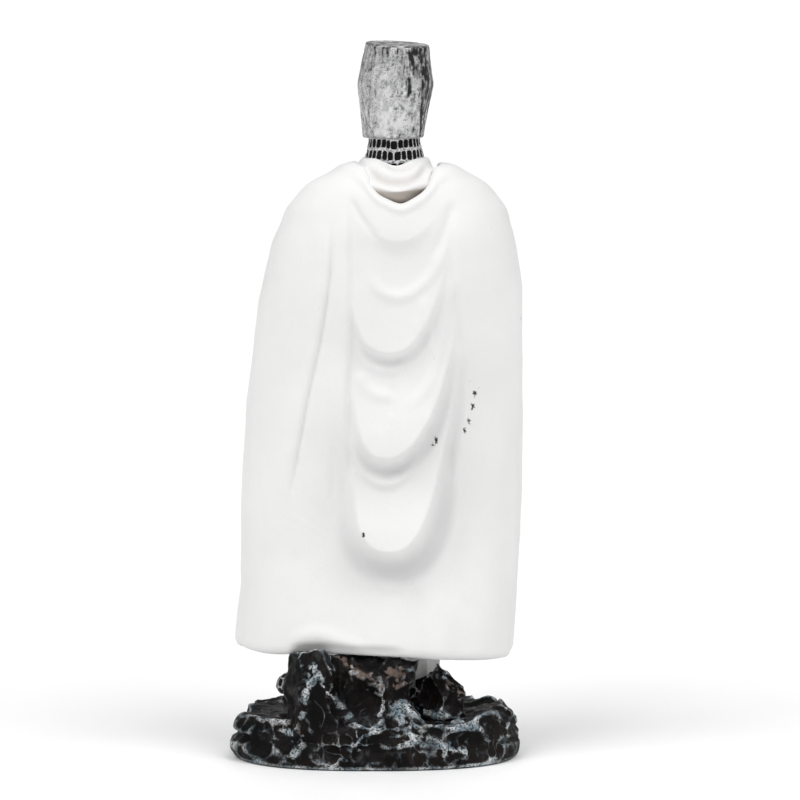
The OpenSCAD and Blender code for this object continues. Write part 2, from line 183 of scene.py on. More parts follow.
def normals_of(points, faces):
    """Area-weighted normal of each point of a quad or triangle mesh."""
    a, b, c = points[faces[:, 0]], points[faces[:, 1]], points[faces[:, 2]]
    face = np.cross(b - a, c - a)
    if faces.shape[1] == 4:
        face = face + np.cross(c - a, points[faces[:, 3]] - a)
    total = np.zeros_like(points)
    for k in range(faces.shape[1]):
        np.add.at(total, faces[:, k], face)
    return unit(total)


def piece(name, points, faces, paint, slot, replaces, raised=None, hollow=None, outside=None):
    """Writes a mesh in metres, paints it, and lets it ride on the frame. The numbers kept on the points
    are held between 0 and 1."""
    mesh = bpy.data.meshes.new(name)
    points = np.asarray(points, float)
    mesh.from_pydata((points * MM).tolist(), [], [list(map(int, f)) for f in faces])
    mesh.validate()
    for key, values in (("raised", raised), ("hollow", hollow), ("outside", outside)):
        layer = mesh.attributes.new(key, "FLOAT", "POINT")
        data = np.zeros(len(mesh.vertices), np.float32)
        if values is not None:
            data[:] = np.clip(values, 0, 1)
        layer.data.foreach_set("value", data)
    mesh.polygons.foreach_set("use_smooth", [True] * len(mesh.polygons))
    mesh.materials.append(paint.material)
    made = bpy.data.objects.new(name, mesh)
    bpy.context.scene.collection.objects.link(made)
    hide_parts(*replaces)
    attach(made, "root")


def grid_faces(rows, columns, wrap=False, start=0, flip=False):
    """Quads over a grid of points in row order."""
    last = columns if wrap else columns - 1
    r, c = np.meshgrid(np.arange(rows - 1), np.arange(last), indexing="ij")
    n = (c + 1) % columns
    quads = np.stack([r * columns + c, r * columns + n, (r + 1) * columns + n, (r + 1) * columns + c], -1)
    quads = quads.reshape(-1, 4) + start
    return quads[:, ::-1] if flip else quads


def loop_faces(around, across):
    """Quads over a grid of points that closes on itself both ways."""
    i, j = np.meshgrid(np.arange(around), np.arange(across), indexing="ij")
    i2, j2 = (i + 1) % around, (j + 1) % across
    corners = [i * across + j, i * across + j2, i2 * across + j2, i2 * across + j]
    return np.stack(corners, -1).reshape(-1, 4)


def sheet_mesh(outer, inner):
    """A closed sheet between two grids of points (row, column), with a rounded rim all round.
    Seen from outside, columns run to the right as rows go up."""
    rows, columns = outer.shape[:2]
    edge = ([(0, c) for c in range(columns)] + [(r, columns - 1) for r in range(1, rows)]
            + [(rows - 1, c) for c in range(columns - 2, -1, -1)] + [(r, 0) for r in range(rows - 2, 0, -1)])
    into = [(min(max(r, 1), rows - 2), min(max(c, 1), columns - 2)) for r, c in edge]
    out_edge = np.array([outer[e] for e in edge])
    in_edge = np.array([inner[e] for e in edge])
    away = unit(out_edge + in_edge - np.array([outer[i] for i in into]) - np.array([inner[i] for i in into]))
    middle, half = (out_edge + in_edge) / 2, (out_edge - in_edge) / 2
    reach = np.linalg.norm(half, axis=1, keepdims=True)
    rims = [middle + half * math.cos(t) + away * reach * math.sin(t)
            for t in (0.8, math.pi / 2, math.pi - 0.8)]
    n, m = rows * columns, len(edge)
    points = np.vstack([outer.reshape(-1, 3), inner.reshape(-1, 3)] + rims)
    faces = [grid_faces(rows, columns), grid_faces(rows, columns, start=n, flip=True)]
    at = np.array([r * columns + c for r, c in edge])
    lines = [at] + [2 * n + k * m + np.arange(m) for k in range(len(rims))] + [at + n]
    nxt = np.roll(np.arange(m), -1)
    for a, b in zip(lines, lines[1:]):
        faces.append(np.stack([b, b[nxt], a[nxt], a], -1))
    return points, np.vstack(faces)


def spread_over(points, values):
    """Values of a grid's points, given to a sheet's outer face, with zero on its inner face and rim."""
    full = np.zeros(len(points))
    full[:values.size] = values.ravel()
    return full


def closed_rings(rings, dome=0.0):
    """A solid over rings of equal length, each end closed by smaller and smaller rings.
    Seen from outside, a ring's points run to the right as the rings go up. Returns the points, the faces
    and the place of the first ring's first point."""
    rings = [np.asarray(r, float) for r in rings]
    columns = len(rings[0])

    def close(ring, beside_it):
        c = ring.mean(0)
        away = unit(c - beside_it.mean(0)) * dome
        return [c + (ring - c) * k + away * (1 - k ** 2) for k in (0.85, 0.65, 0.4, 0.15)]

    low, high = close(rings[0], rings[1])[::-1], close(rings[-1], rings[-2])
    stack = low + rings + high
    points = np.vstack(stack + [stack[0].mean(0), stack[-1].mean(0)])
    faces = [list(f) for f in grid_faces(len(stack), columns, wrap=True)]
    base, top, first = len(points) - 2, len(points) - 1, (len(stack) - 1) * columns
    for c in range(columns):
        n = (c + 1) % columns
        faces.append([base, n, c])
        faces.append([top, first + c, first + n])
    return points, faces, len(low) * columns


def solid(name, rings, paint, slot, replaces, raised, hollow, dome=0.0):
    """Writes a solid over rings, with its raised and hollow values given ring by ring."""
    points, faces, first = closed_rings(rings, dome)
    given = []
    for values in (raised, hollow):
        full = np.zeros(len(points))
        full[first:first + np.size(values)] = np.ravel(values)
        given.append(full)
    piece(name, points, faces, paint, slot, replaces, *given)


def frames_along(path, up):
    """Two directions square to a path at each of its points. With the path they are right-handed."""
    tangent = unit(np.gradient(path, axis=0))
    a = unit(np.cross(np.asarray(up, float), tangent))
    return a, np.cross(tangent, a)


def tube(path, radius, columns, up, lift):
    """Rings along a path. Radius is one number or one a ring, and lift adds a grid of heights to it."""
    a, b = frames_along(path, up)
    turn = turns(columns)
    r = np.reshape(radius, (-1, 1)) + lift
    across, along = (r * np.cos(turn))[..., None], (r * np.sin(turn))[..., None]
    return path[:, None] + across * a[:, None] + along * b[:, None]


SCOOP_EDGE = 0.25


def skin(field, lo, hi, voxel, scoops=(), detail=None):
    """Skins a distance field, given as a function of points in millimetres, where it is zero.
    Scoops are balls, as (centre, radius), cut out of it. Detail takes points near the surface and gives
    what to add to the field."""
    lo, hi = np.asarray(lo, float) - 3 * voxel, np.asarray(hi, float) + 3 * voxel
    axes = [np.arange(lo[k], hi[k] + voxel, voxel) for k in range(3)]
    at = np.stack(np.meshgrid(*axes, indexing="ij"), -1)
    shape = at.shape[:3]
    values = field(at.reshape(-1, 3)).reshape(shape)
    for centre, radius in scoops:
        span = [slice(max(int((centre[k] - radius - lo[k]) / voxel) - 1, 0),
                      max(int((centre[k] + radius - lo[k]) / voxel) + 3, 0)) for k in range(3)]
        part = tuple(span)
        if values[part].size:
            cut = radius - np.linalg.norm(at[part] - centre, axis=-1)
            values[part] = smooth_max(values[part], cut, SCOOP_EDGE)
    if detail is not None:
        near = np.abs(values) < 1.2
        values[near] += detail(at[near])
    grid = vdb.FloatGrid(3 * voxel)
    grid.copyFromArray(np.clip(values, -3 * voxel, 3 * voxel).astype(np.float32))
    points, quads = grid.convertToQuads(isovalue=0.0)
    return points.astype(float) * voxel + lo, quads.astype(int)


def scoops_on(field, lo, hi, count, radii, depth, seed, above):
    """Balls that each bite a shallow chip, up to depth deep, out of a field's surface above a height."""
    rng = np.random.RandomState(seed)
    p = rng.uniform(lo, hi, (count * 3, 3))
    step = 0.05
    for _ in range(4):
        here = field(p)
        slope = np.stack([(field(p + step * np.eye(3)[k]) - here) / step for k in range(3)], 1)
        p = p - slope * (here / np.maximum((slope ** 2).sum(1), 0.2))[:, None]
    out = unit(slope)
    keep = (np.abs(field(p)) < 0.4) & (p[:, 2] > above)
    p, out = p[keep][:count], out[keep][:count]
    radius = rng.uniform(radii[0], radii[1], len(p))
    bite = depth * rng.uniform(0.35, 1, len(p))
    centre = p + out * (radius - bite)[:, None]
    clear = field(centre) > 0.5 * (radius - bite)
    return [(centre[k], radius[k]) for k in range(len(p)) if clear[k]]


def hull_planes(corners):
    """[normal, distance] of each face of the convex hull of some corners."""
    made = bmesh.new()
    for c in corners:
        made.verts.new(c)
    bmesh.ops.convex_hull(made, input=made.verts[:])
    planes = []
    for face in made.faces:
        face.normal_update()
        n = np.array(face.normal)
        inside = np.mean(corners, axis=0)
        at = np.array(face.verts[0].co)
        n = n if n @ (at - inside) > 0 else -n
        planes.append((n, n @ at))
    made.free()
    return planes


def relax(points, faces, times):
    """Moves each point towards the middle of its neighbours, to even out a skinned field."""
    rim = np.vstack([faces[:, [k, (k + 1) % faces.shape[1]]] for k in range(faces.shape[1])])
    a, b = np.concatenate([rim[:, 0], rim[:, 1]]), np.concatenate([rim[:, 1], rim[:, 0]])
    count = np.maximum(np.bincount(a, minlength=len(points)), 1)
    for _ in range(times):
        total = np.stack([np.bincount(a, points[b, k], len(points)) for k in range(3)], 1)
        points = 0.5 * points + 0.5 * total / count[:, None]
    return points


def relief_of(points, faces, times, depth):
    """How far each point stands proud of its smoothed surface: raised and hollow parts, each from 0 to 1."""
    lift = ((points - relax(points, faces, times)) * normals_of(points, faces)).sum(1) / depth
    return np.clip(lift, 0, 1), np.clip(-lift, 0, 1)


# ---- Fields ----

def ball(p, centre, radii):
    q = (p - centre) / radii
    k = np.linalg.norm(q, axis=1)
    return (k - 1) * np.min(radii)


def bone(p, a, b, ra, rb):
    """A round-ended limb from a to b, with its radius changing evenly."""
    a, b = np.asarray(a, float), np.asarray(b, float)
    ab = b - a
    t = np.clip(((p - a) @ ab) / (ab @ ab), 0, 1)
    return np.linalg.norm(p - a - t[:, None] * ab, axis=1) - (ra + (rb - ra) * t)


def facets(p, planes):
    """A convex solid from [normal, distance from the origin] planes."""
    d = np.full(len(p), -1e9)
    for normal, far in planes:
        d = np.maximum(d, p @ normal - far)
    return d


# ---- Paint ----

class Paint:
    """A material of procedural nodes, read in millimetres."""

    def __init__(self, name, **sockets):
        self.material = bpy.data.materials.new(name)
        self.material.use_nodes = True
        self.tree = self.material.node_tree
        self.shader = self.tree.nodes["Principled BSDF"]
        for key, value in sockets.items():
            self.shader.inputs[key.replace("_", " ")].default_value = value
        self.place = self.vector("SCALE", self.node("ShaderNodeTexCoord").outputs["Object"], scale=1 / MM)

    def node(self, kind, **settings):
        made = self.tree.nodes.new(kind)
        for key, value in settings.items():
            setattr(made, key, value)
        return made

    def feed(self, socket, value):
        if isinstance(value, bpy.types.NodeSocket):
            self.tree.links.new(value, socket)
        elif value is not None:
            socket.default_value = value

    def vector(self, operation, a, b=None, scale=None):
        made = self.node("ShaderNodeVectorMath", operation=operation)
        self.feed(made.inputs[0], a)
        self.feed(made.inputs[1], b)
        if scale is not None:
            made.inputs["Scale"].default_value = scale
        return made.outputs["Vector"]

    def sum(self, operation, a, b=None, clamp=False):
        made = self.node("ShaderNodeMath", operation=operation, use_clamp=clamp)
        self.feed(made.inputs[0], a)
        self.feed(made.inputs[1], b)
        return made.outputs[0]

    def noise(self, scale, detail=4.0, roughness=0.55, stretch=None, distortion=0.0, place=None):
        """Cloudy noise over the piece, or over another place, stretched or not."""
        made = self.node("ShaderNodeTexNoise")
        place = self.place if place is None else place
        self.feed(made.inputs["Vector"], self.vector("MULTIPLY", place, stretch) if stretch else place)
        for key, value in (("Scale", scale), ("Detail", detail), ("Roughness", roughness),
                           ("Distortion", distortion)):
            made.inputs[key].default_value = value
        return made.outputs["Fac"]

    def cell_edges(self, scale):
        """Distance from the edges of an irregular pattern of cells."""
        made = self.node("ShaderNodeTexVoronoi", feature="DISTANCE_TO_EDGE")
        self.feed(made.inputs["Vector"], self.place)
        made.inputs["Scale"].default_value = scale
        return made.outputs["Distance"]

    def band(self, value, low, high, to_low=0.0, to_high=1.0):
        """Maps low..high onto to_low..to_high, smoothly and clamped."""
        made = self.node("ShaderNodeMapRange", interpolation_type="SMOOTHSTEP")
        self.feed(made.inputs["Value"], value)
        for key, v in (("From Min", low), ("From Max", high), ("To Min", to_low), ("To Max", to_high)):
            made.inputs[key].default_value = v
        return made.outputs["Result"]

    def kept(self, name):
        """The number that the mesh keeps on each point under this name."""
        return self.node("ShaderNodeAttribute", attribute_name=name).outputs["Fac"]

    def mix(self, share, a, b):
        made = self.node("ShaderNodeMix", data_type="RGBA")
        self.feed(made.inputs["Factor"], share)
        self.feed(made.inputs[6], a)
        self.feed(made.inputs[7], b)
        return made.outputs[2]

    def colour(self, value):
        self.feed(self.shader.inputs["Base Color"], value)

    def rough(self, value):
        self.feed(self.shader.inputs["Roughness"], value)

    def bump(self, height, depth_mm, strength):
        made = self.node("ShaderNodeBump")
        made.inputs["Strength"].default_value = strength
        made.inputs["Distance"].default_value = depth_mm * MM
        self.feed(made.inputs["Height"], height)
        self.tree.links.new(made.outputs["Normal"], self.shader.inputs["Normal"])


def paint_white(name, shade_tint=(0.52, 0.52, 0.525, 1)):
    """Matt white over resin, a little yellowed and scuffed, with painted shade in the hollows and a painted
    highlight where raised.
    """
    p = Paint(name, IOR=1.46)
    tone = p.noise(0.07, 3, 0.5)
    fine = p.noise(1.6, 4, 0.6)
    base = p.mix(p.band(tone, 0.35, 0.65), (0.800, 0.798, 0.792, 1), (0.832, 0.830, 0.826, 1))
    base = p.mix(p.band(fine, 0.55, 0.8, 0, 0.35), base, (0.76, 0.755, 0.74, 1))
    # Painted shade: darker towards the shade tint in the hollows
    base = p.mix(p.sum("MULTIPLY", p.kept("hollow"), 0.6), base, shade_tint)
    # Painted highlight: lighter where raised
    base = p.mix(p.sum("MULTIPLY", p.kept("raised"), 0.5), base, (0.87, 0.868, 0.862, 1))
    where = p.band(p.noise(0.12, 2), 0.52, 0.6)
    fleck = p.sum("MULTIPLY", p.band(p.noise(3.4, 2, 0.5), 0.735, 0.765), where)
    base = p.mix(p.sum("MULTIPLY", fleck, 0.6), base, (0.34, 0.30, 0.26, 1))
    p.colour(base)
    p.rough(p.band(p.noise(0.5, 4), 0.3, 0.7, 0.52, 0.72))
    grain = p.sum("ADD", p.noise(2.2, 5, 0.65), p.sum("MULTIPLY", p.noise(9.0, 3), 0.35))
    p.bump(grain, 0.05, 0.6)
    return p, base


def with_chips(p, base, spots):
    """Adds dark ragged chips at (place, size) spots of a piece's outer face."""
    split = p.node("ShaderNodeSeparateXYZ")
    wobble = p.sum("MULTIPLY", p.sum("SUBTRACT", p.noise(3.0, 4, 0.75), 0.5), 2.3)
    p.feed(split.inputs[0], p.place)
    total = None
    for place, size in spots:
        far = None
        for axis, at, stretch in zip("XYZ", place, (1.8, 1.8, 1.0)):
            d = p.sum("MULTIPLY", p.sum("SUBTRACT", split.outputs[axis], float(at)), stretch)
            square = p.sum("MULTIPLY", d, d)
            far = square if far is None else p.sum("ADD", far, square)
        near = p.band(p.sum("ADD", p.sum("SQRT", far), wobble), size * 0.62, size * 0.45)
        total = near if total is None else p.sum("MAXIMUM", total, near)
    p.colour(p.mix(p.sum("MULTIPLY", total, p.kept("outside")), base, (0.03, 0.028, 0.026, 1)))


def paint_steel():
    """Silver paint, brushed on and washed with black, darker where hollow and lighter where raised; on the
    helm these carry painted shade and a painted highlight.
    """
    p = Paint("steel_paint", Specular_IOR_Level=0.3)
    blot = p.noise(0.55, 5, 0.62)
    streak = p.noise(1.6, 4, 0.6, stretch=(1.0, 1.0, 0.14))
    fine = p.noise(5.0, 4, 0.7)
    base = p.mix(p.band(blot, 0.38, 0.62), (0.40, 0.40, 0.41, 1), (0.60, 0.60, 0.61, 1))
    base = p.mix(p.band(streak, 0.46, 0.62, 0, 0.6), base, (0.72, 0.72, 0.73, 1))
    base = p.mix(p.band(fine, 0.53, 0.61, 0, 0.85), base, (0.07, 0.07, 0.07, 1))
    base = p.mix(p.band(p.noise(2.4, 4, 0.7), 0.56, 0.66, 0, 0.8), base, (0.03, 0.03, 0.03, 1))
    base = p.mix(p.band(p.noise(9.0, 3, 0.6), 0.54, 0.66, 0, 0.7), base, (0.85, 0.85, 0.85, 1))
    base = p.mix(p.kept("hollow"), base, (0.008, 0.008, 0.008, 1))
    base = p.mix(p.sum("MULTIPLY", p.kept("raised"), 0.8), base, (0.82, 0.82, 0.82, 1))
    p.colour(base)
    p.rough(p.band(p.noise(1.4, 4, 0.6), 0.3, 0.7, 0.42, 0.62))
    p.feed(p.shader.inputs["Metallic"], p.sum("MULTIPLY", p.sum("SUBTRACT", 1.0, p.kept("hollow")), 0.72))
    p.bump(p.sum("ADD", streak, p.sum("MULTIPLY", fine, 0.6)), 0.06, 0.7)
    return p


def paint_mail():
    """Black, with silver caught on the raised links."""
    p = Paint("mail_paint", Specular_IOR_Level=0.12)
    fine = p.noise(4.0, 4, 0.7)
    caught = p.sum("MULTIPLY", p.band(p.kept("raised"), 0.45, 0.95), p.band(fine, 0.38, 0.56, 0.2, 1))
    base = p.mix(p.band(p.noise(0.8, 3), 0.35, 0.65), (0.004, 0.004, 0.004, 1), (0.014, 0.013, 0.013, 1))
    p.colour(p.mix(caught, base, (0.74, 0.74, 0.75, 1)))
    p.feed(p.shader.inputs["Metallic"], p.sum("MULTIPLY", caught, 0.45))
    p.rough(p.band(fine, 0.3, 0.7, 0.36, 0.6))
    p.bump(fine, 0.04, 0.6)
    return p


def paint_rock():
    """Near black, with brown in it, blue-grey veins, and a pale dry-brushing on every ridge."""
    p = Paint("rock_paint", IOR=1.5, Specular_IOR_Level=0.08)
    slow, fine = p.noise(0.16, 4, 0.6), p.noise(3.2, 5, 0.7)
    base = p.mix(p.band(slow, 0.38, 0.62), (0.0020, 0.0018, 0.0018, 1), (0.010, 0.007, 0.006, 1))
    base = p.mix(p.band(p.noise(0.6, 4, 0.65), 0.55, 0.75, 0, 0.8), base, (0.040, 0.037, 0.037, 1))
    base = p.mix(p.sum("MULTIPLY", p.kept("hollow"), 0.9), base, (0.004, 0.004, 0.004, 1))

    def vein(scale, width, shift, patchy):
        """Lines where a noise crosses its middle, broken into patches."""
        moved = p.vector("ADD", p.place, (shift, shift * 0.7, -shift))
        line = p.noise(scale, 2.5, 0.5, distortion=0.35, place=moved)
        off = p.sum("ABSOLUTE", p.sum("SUBTRACT", line, 0.5))
        return p.sum("MULTIPLY", p.band(off, width, width * 0.2), p.band(patchy, 0.53, 0.64))

    veins = p.sum("MAXIMUM", vein(0.20, 0.018, 3.0, p.noise(0.22, 3)), vein(0.38, 0.020, 11.0, slow))
    veins = p.sum("MULTIPLY", veins, p.band(p.kept("outside"), 0.0, 0.5, 0.15, 0.9))
    brushed = p.sum("MULTIPLY", p.band(p.kept("raised"), 0.18, 0.80), p.band(fine, 0.38, 0.58))
    brushed = p.sum("MULTIPLY", brushed, p.band(p.noise(0.3, 3), 0.36, 0.56, 0.4, 1))
    ridge = p.sum("MULTIPLY", p.band(p.kept("outside"), 0.35, 0.95), p.band(p.noise(0.8, 4, 0.7), 0.36, 0.6))
    base = p.mix(p.sum("MULTIPLY", ridge, 0.85), base, (0.16, 0.118, 0.098, 1))
    base = p.mix(p.band(p.noise(0.35, 5, 0.65), 0.56, 0.70, 0, 0.5), base, (0.045, 0.050, 0.056, 1))
    pale = p.mix(p.band(p.noise(0.5, 3), 0.4, 0.6), (0.20, 0.27, 0.31, 1), (0.62, 0.66, 0.68, 1))
    share = p.sum("MAXIMUM", brushed, p.sum("MULTIPLY", veins, p.band(fine, 0.3, 0.5, 0.4, 1)), clamp=True)
    p.colour(p.mix(share, base, pale))
    p.rough(p.band(p.noise(1.1, 4, 0.6), 0.3, 0.7, 0.34, 0.62))
    p.bump(p.sum("ADD", p.noise(1.5, 6, 0.68), p.sum("MULTIPLY", fine, 0.4)), 0.16, 0.8)
    return p


def paint_leather():
    """Brown leather as a brush paints it, darker in the grain and rubbed at the edges."""
    p = Paint("leather_paint")
    grain = p.cell_edges(2.6)
    base = p.mix(p.band(p.noise(0.5, 4), 0.35, 0.65), (0.050, 0.023, 0.012, 1), (0.105, 0.052, 0.026, 1))
    base = p.mix(p.band(grain, 0.07, 0.0, 0, 0.6), base, (0.018, 0.009, 0.006, 1))
    base = p.mix(p.sum("MULTIPLY", p.kept("hollow"), 0.9), base, (0.012, 0.006, 0.004, 1))
    base = p.mix(p.sum("MULTIPLY", p.kept("raised"), 0.55), base, (0.30, 0.19, 0.11, 1))
    p.colour(base)
    p.rough(p.band(p.noise(1.2, 4), 0.3, 0.7, 0.42, 0.66))
    p.bump(p.sum("ADD", grain, p.sum("MULTIPLY", p.noise(3.0, 4), 0.6)), 0.06, 0.6)
    return p


def paint_gilt():
    """Antique gold paint with a brown wash in the hollows."""
    p = Paint("gilt_paint", Metallic=0.85)
    base = p.mix(p.band(p.noise(0.9, 4, 0.6), 0.35, 0.65), (0.42, 0.27, 0.09, 1), (0.66, 0.47, 0.19, 1))
    base = p.mix(p.band(p.noise(3.5, 4, 0.7), 0.55, 0.72, 0, 0.6), base, (0.14, 0.08, 0.03, 1))
    base = p.mix(p.kept("hollow"), base, (0.035, 0.020, 0.010, 1))
    base = p.mix(p.sum("MULTIPLY", p.kept("raised"), 0.7), base, (0.85, 0.68, 0.36, 1))
    p.colour(base)
    p.rough(p.band(p.noise(1.6, 4), 0.3, 0.7, 0.28, 0.5))
    p.bump(p.noise(4.0, 4, 0.65), 0.04, 0.6)
    return p


def plain_metal(name, low, high, rough_low, rough_high, stretch):
    """Drawn or turned metal with fine marks along its length."""
    p = Paint(name, Metallic=1.0)
    marks = p.noise(3.0, 4, 0.6, stretch=stretch)
    base = p.mix(p.band(marks, 0.35, 0.65), low, high)
    stain = tuple(0.45 * c for c in low[:3]) + (1,)
    p.colour(p.mix(p.band(p.noise(0.6, 4), 0.56, 0.72, 0, 0.5), base, stain))
    p.rough(p.band(p.noise(1.3, 4), 0.3, 0.7, rough_low, rough_high))
    p.bump(marks, 0.03, 0.5)
    return p


def paint_felt():
    """Dark green felt with short matted fibres."""
    p = Paint("felt", Roughness=0.95)
    fibre = p.noise(7.0, 6, 0.75, distortion=1.4)
    base = p.mix(p.band(fibre, 0.35, 0.68), (0.004, 0.007, 0.005, 1), (0.020, 0.028, 0.021, 1))
    p.colour(p.mix(p.band(p.noise(0.35, 3), 0.5, 0.7, 0, 0.5), base, (0.028, 0.033, 0.028, 1)))
    p.feed(p.shader.inputs["Sheen Weight"], 0.06)
    p.rough(p.band(fibre, 0.3, 0.7, 0.86, 0.98))
    p.bump(fibre, 0.12, 0.9)
    return p


white, _ = paint_white("white_paint")
cloak_paint, cloak_base = paint_white("white_paint_cloak")
# The cowl's painted shade is brown
cowl_paint, _ = paint_white("white_paint_cowl", (0.34, 0.25, 0.18, 1))
steel, mail, rock, leather = paint_steel(), paint_mail(), paint_rock(), paint_leather()
gilt, felt = paint_gilt(), paint_felt()
brass = plain_metal("pin_brass", (0.62, 0.44, 0.16, 1), (0.80, 0.62, 0.28, 1), 0.22, 0.42, (1, 1, 0.2))
weight = plain_metal("weight_steel", (0.40, 0.40, 0.41, 1), (0.62, 0.62, 0.63, 1), 0.26, 0.46, (0.3, 1, 1))


# ---- Places shared by the pieces ----

BODY_X = np.mean([c[0] for c in box_mm("great_helm")])
HELM_LO, HELM_HI = box_mm("great_helm")
BASE_LO, BASE_HI = box_mm("rock_base")
WAIST_H = np.mean([c[2] for c in box_mm("belt")])
SKIRT_LO, SKIRT_HI = box_mm("surcoat_skirt")
LEFT, RIGHT = 1, -1


def signed_power(v, p):
    return np.sign(v) * np.abs(v) ** p


def oval(a, rx, ry, e):
    """A point of an oval whose squareness is e: 2 is an ellipse."""
    return rx * signed_power(np.cos(a), 2 / e), ry * signed_power(np.sin(a), 2 / e)


def links(along, around, pitch_along, pitch_around):
    """Cast mail: rows of upright cells with raised ribs between them, each row shifted by half a cell."""
    along, around = np.broadcast_arrays(along, around)
    spot = joined(along / pitch_along, around / pitch_around, 0)
    around = around + 0.22 * pitch_around * value_noise(spot, 1.3, 11)
    along = along + 0.12 * pitch_along * value_noise(spot, 1.7, 12)
    row = np.floor(along / pitch_along)
    u = (around / pitch_around + 0.5 * (row % 2)) % 1 - 0.5
    v = (along / pitch_along) % 1 - 0.5
    x = np.maximum(np.abs(u) * pitch_around - 0.12 * pitch_around, 0)
    y = np.maximum(np.abs(v) * pitch_along - 0.20 * pitch_along, 0)
    return smoothstep(0.21, 0.34, np.hypot(x, y) / min(pitch_along, pitch_around))


# ---- Cloak ----

# The cloak's reach from the body's axis, by height: to each side, to the back and to the front
cloak_left = outline([[14, 22.4], [24, 21.2], [36, 21.2], [50, 20.5], [64, 18.9], [72, 17.1], [77, 15.1],
                      [80.5, 12.2], [82.2, 8.8], [83.2, 6.2], [84, 4.8]], 0.7)
cloak_right = outline([[14, 16.6], [24, 17.3], [36, 17.9], [50, 18.1], [66, 18.1], [72, 17.2], [77, 15.8],
                       [80.5, 13], [82.2, 10], [83.2, 6.6], [84, 4.8]], 0.7)
cloak_back = outline([[14, 11.2], [24, 10.6], [36, 10.2], [50, 10.2], [66, 10.2], [74, 9.8], [79, 8.4],
                      [82, 6.8], [84, 5.2]], 1.2)
cloak_front = outline([[14, 9.5], [36, 9.6], [60, 9.4], [70, 8.4], [76, 7], [80, 6], [84, 4.6]], 1.2)
# Height of the neckline across the back, by the cosine of the angle round the body
neckline = outline([[-1, 83.2], [-0.7, 82.7], [-0.48, 81.6], [-0.28, 79.2], [-0.06, 77.5], [0.17, 79.0],
                    [0.36, 81.5], [0.6, 82.8], [1, 83.5]], 0.05)
# How far the cloak wraps round to the front past each side, in degrees
cloak_wrap = outline([[14, 44], [40, 42], [62, 38], [70, 46], [76, 62], [80, 74], [84, 78]], 1.5)
CLOAK_E = 2.4
HEM_H, HEM_SLOPE = 14.8, 0.06
SIDE_TOP_H, NECK_SCOOP = 83.2, 4.4
CLOAK_T = 1.0

# Folds on the back, as (x, z) paths. A swag hangs from left to right: its face stands out
# by "out", then drops by "drop" within "lip" below the path, and comes back slowly over "fade".
SWAGS = [
    dict(path=[(3.4, 78.2), (1.6, 75.4), (-0.6, 73.6), (-3.4, 72.9), (-6.0, 73.9), (-8.2, 76.0),
               (-9.8, 78.4)], out=0.15, drop=0.35, lip=2.2, fade=5),
    dict(path=[(3.6, 69), (3.1, 63.4), (1.6, 59.2), (-0.7, 57.6), (-3.2, 57.6), (-5.2, 59.0), (-7.2, 62.2),
               (-9.0, 66.8), (-10.5, 73)], out=0.3, drop=1.2, lip=1.7, fade=6),
    dict(path=[(3.5, 57), (3.1, 51), (2.2, 46.2), (0.8, 43.6), (-1.2, 42.8), (-3.2, 43.2), (-5.3, 45.2),
               (-7.5, 48.6), (-9.3, 53.2), (-10.8, 59), (-11.8, 65)], out=0.45, drop=2.1, lip=2.6, fade=6.5),
    dict(path=[(4.0, 51), (3.7, 44), (3.1, 37.5), (2.2, 32.8), (0.6, 30.5), (-1.4, 29.8), (-3.4, 30.0),
               (-5.3, 31.6), (-7.1, 35), (-8.6, 39.8), (-9.8, 45), (-11.2, 51), (-12.6, 57)],
         out=0.55, drop=2.4, lip=4.2, fade=7.0),
]
# Soft rolls that stand out: path, height, width
ROLLS = [
    ([(1.2, 69.5), (-0.4, 66.4), (-2.9, 65.3), (-5.5, 66.2), (-8.4, 69.3), (-10.2, 75)], 0.36, 0.8),
    ([(-11.2, 70), (-10.0, 61), (-8.2, 55), (-5.8, 51.2), (-3.0, 49.4)], 0.30, 0.9),
    ([(-12.6, 62), (-11.2, 52), (-9.6, 45), (-7.8, 40.4), (-5.0, 37.4)], 0.26, 1.0),
    ([(2.6, 55.2), (1.6, 53.2), (0.4, 52.0), (-1.2, 51.6), (-2.8, 52.2)], 0.30, 0.9),
    ([(3.4, 61), (2.2, 57.4), (0.2, 55.4), (-2.4, 55.2), (-4.8, 57.2), (-6.8, 60.4)], 0.26, 0.6),
    ([(3.9, 49), (3.0, 43.8), (1.4, 40.6), (-0.8, 39.3), (-3.0, 39.7), (-5.4, 42.2), (-7.6, 46.6)],
     0.62, 0.7),
    ([(3.9, 37), (2.8, 31), (0.8, 26.6), (-1.6, 24.9), (-4.2, 25.6), (-6.2, 29.4), (-7.8, 35)], 0.20, 0.9),
    ([(13, 16.6), (9.5, 18.2), (7, 18.2), (3.5, 17.0), (0, 15.4)], 0.30, 1.0),
    ([(-8.4, 35), (-8.2, 26), (-8.4, 18), (-8.8, 12)], 0.40, 2.6),
    ([(-6.4, 66), (-7.4, 60.5), (-8.0, 56)], 0.25, 0.7),
]
# Creases that cut in: path, depth, width
CREASES = [
    ([(6.3, 77), (6.25, 69), (7.5, 60.5), (9, 53.5), (10.3, 47.2), (11.4, 41.6), (12.8, 34.5)], 0.30, 0.34),
    ([(3.6, 79.2), (2.2, 76.4), (0.4, 74.1), (-0.2, 72.6)], 0.34, 0.55),
    ([(-11.1, 79), (-9.4, 74), (-8, 70)], 0.30, 0.7),
    ([(-11.5, 67.6), (-9.7, 58.1), (-8.7, 53.5)], 0.28, 0.7),
    ([(-12.6, 57), (-11.6, 51.1), (-10.8, 44), (-9.3, 38)], 0.26, 0.8),
    ([(-4.6, 27), (-4.6, 20), (-5.2, 12)], 0.26, 2.0),
    ([(-12.4, 34), (-12.4, 24), (-12, 12)], 0.30, 2.2),
    ([(6.4, 45), (6.2, 40), (6.6, 36)], 0.16, 0.5),
]
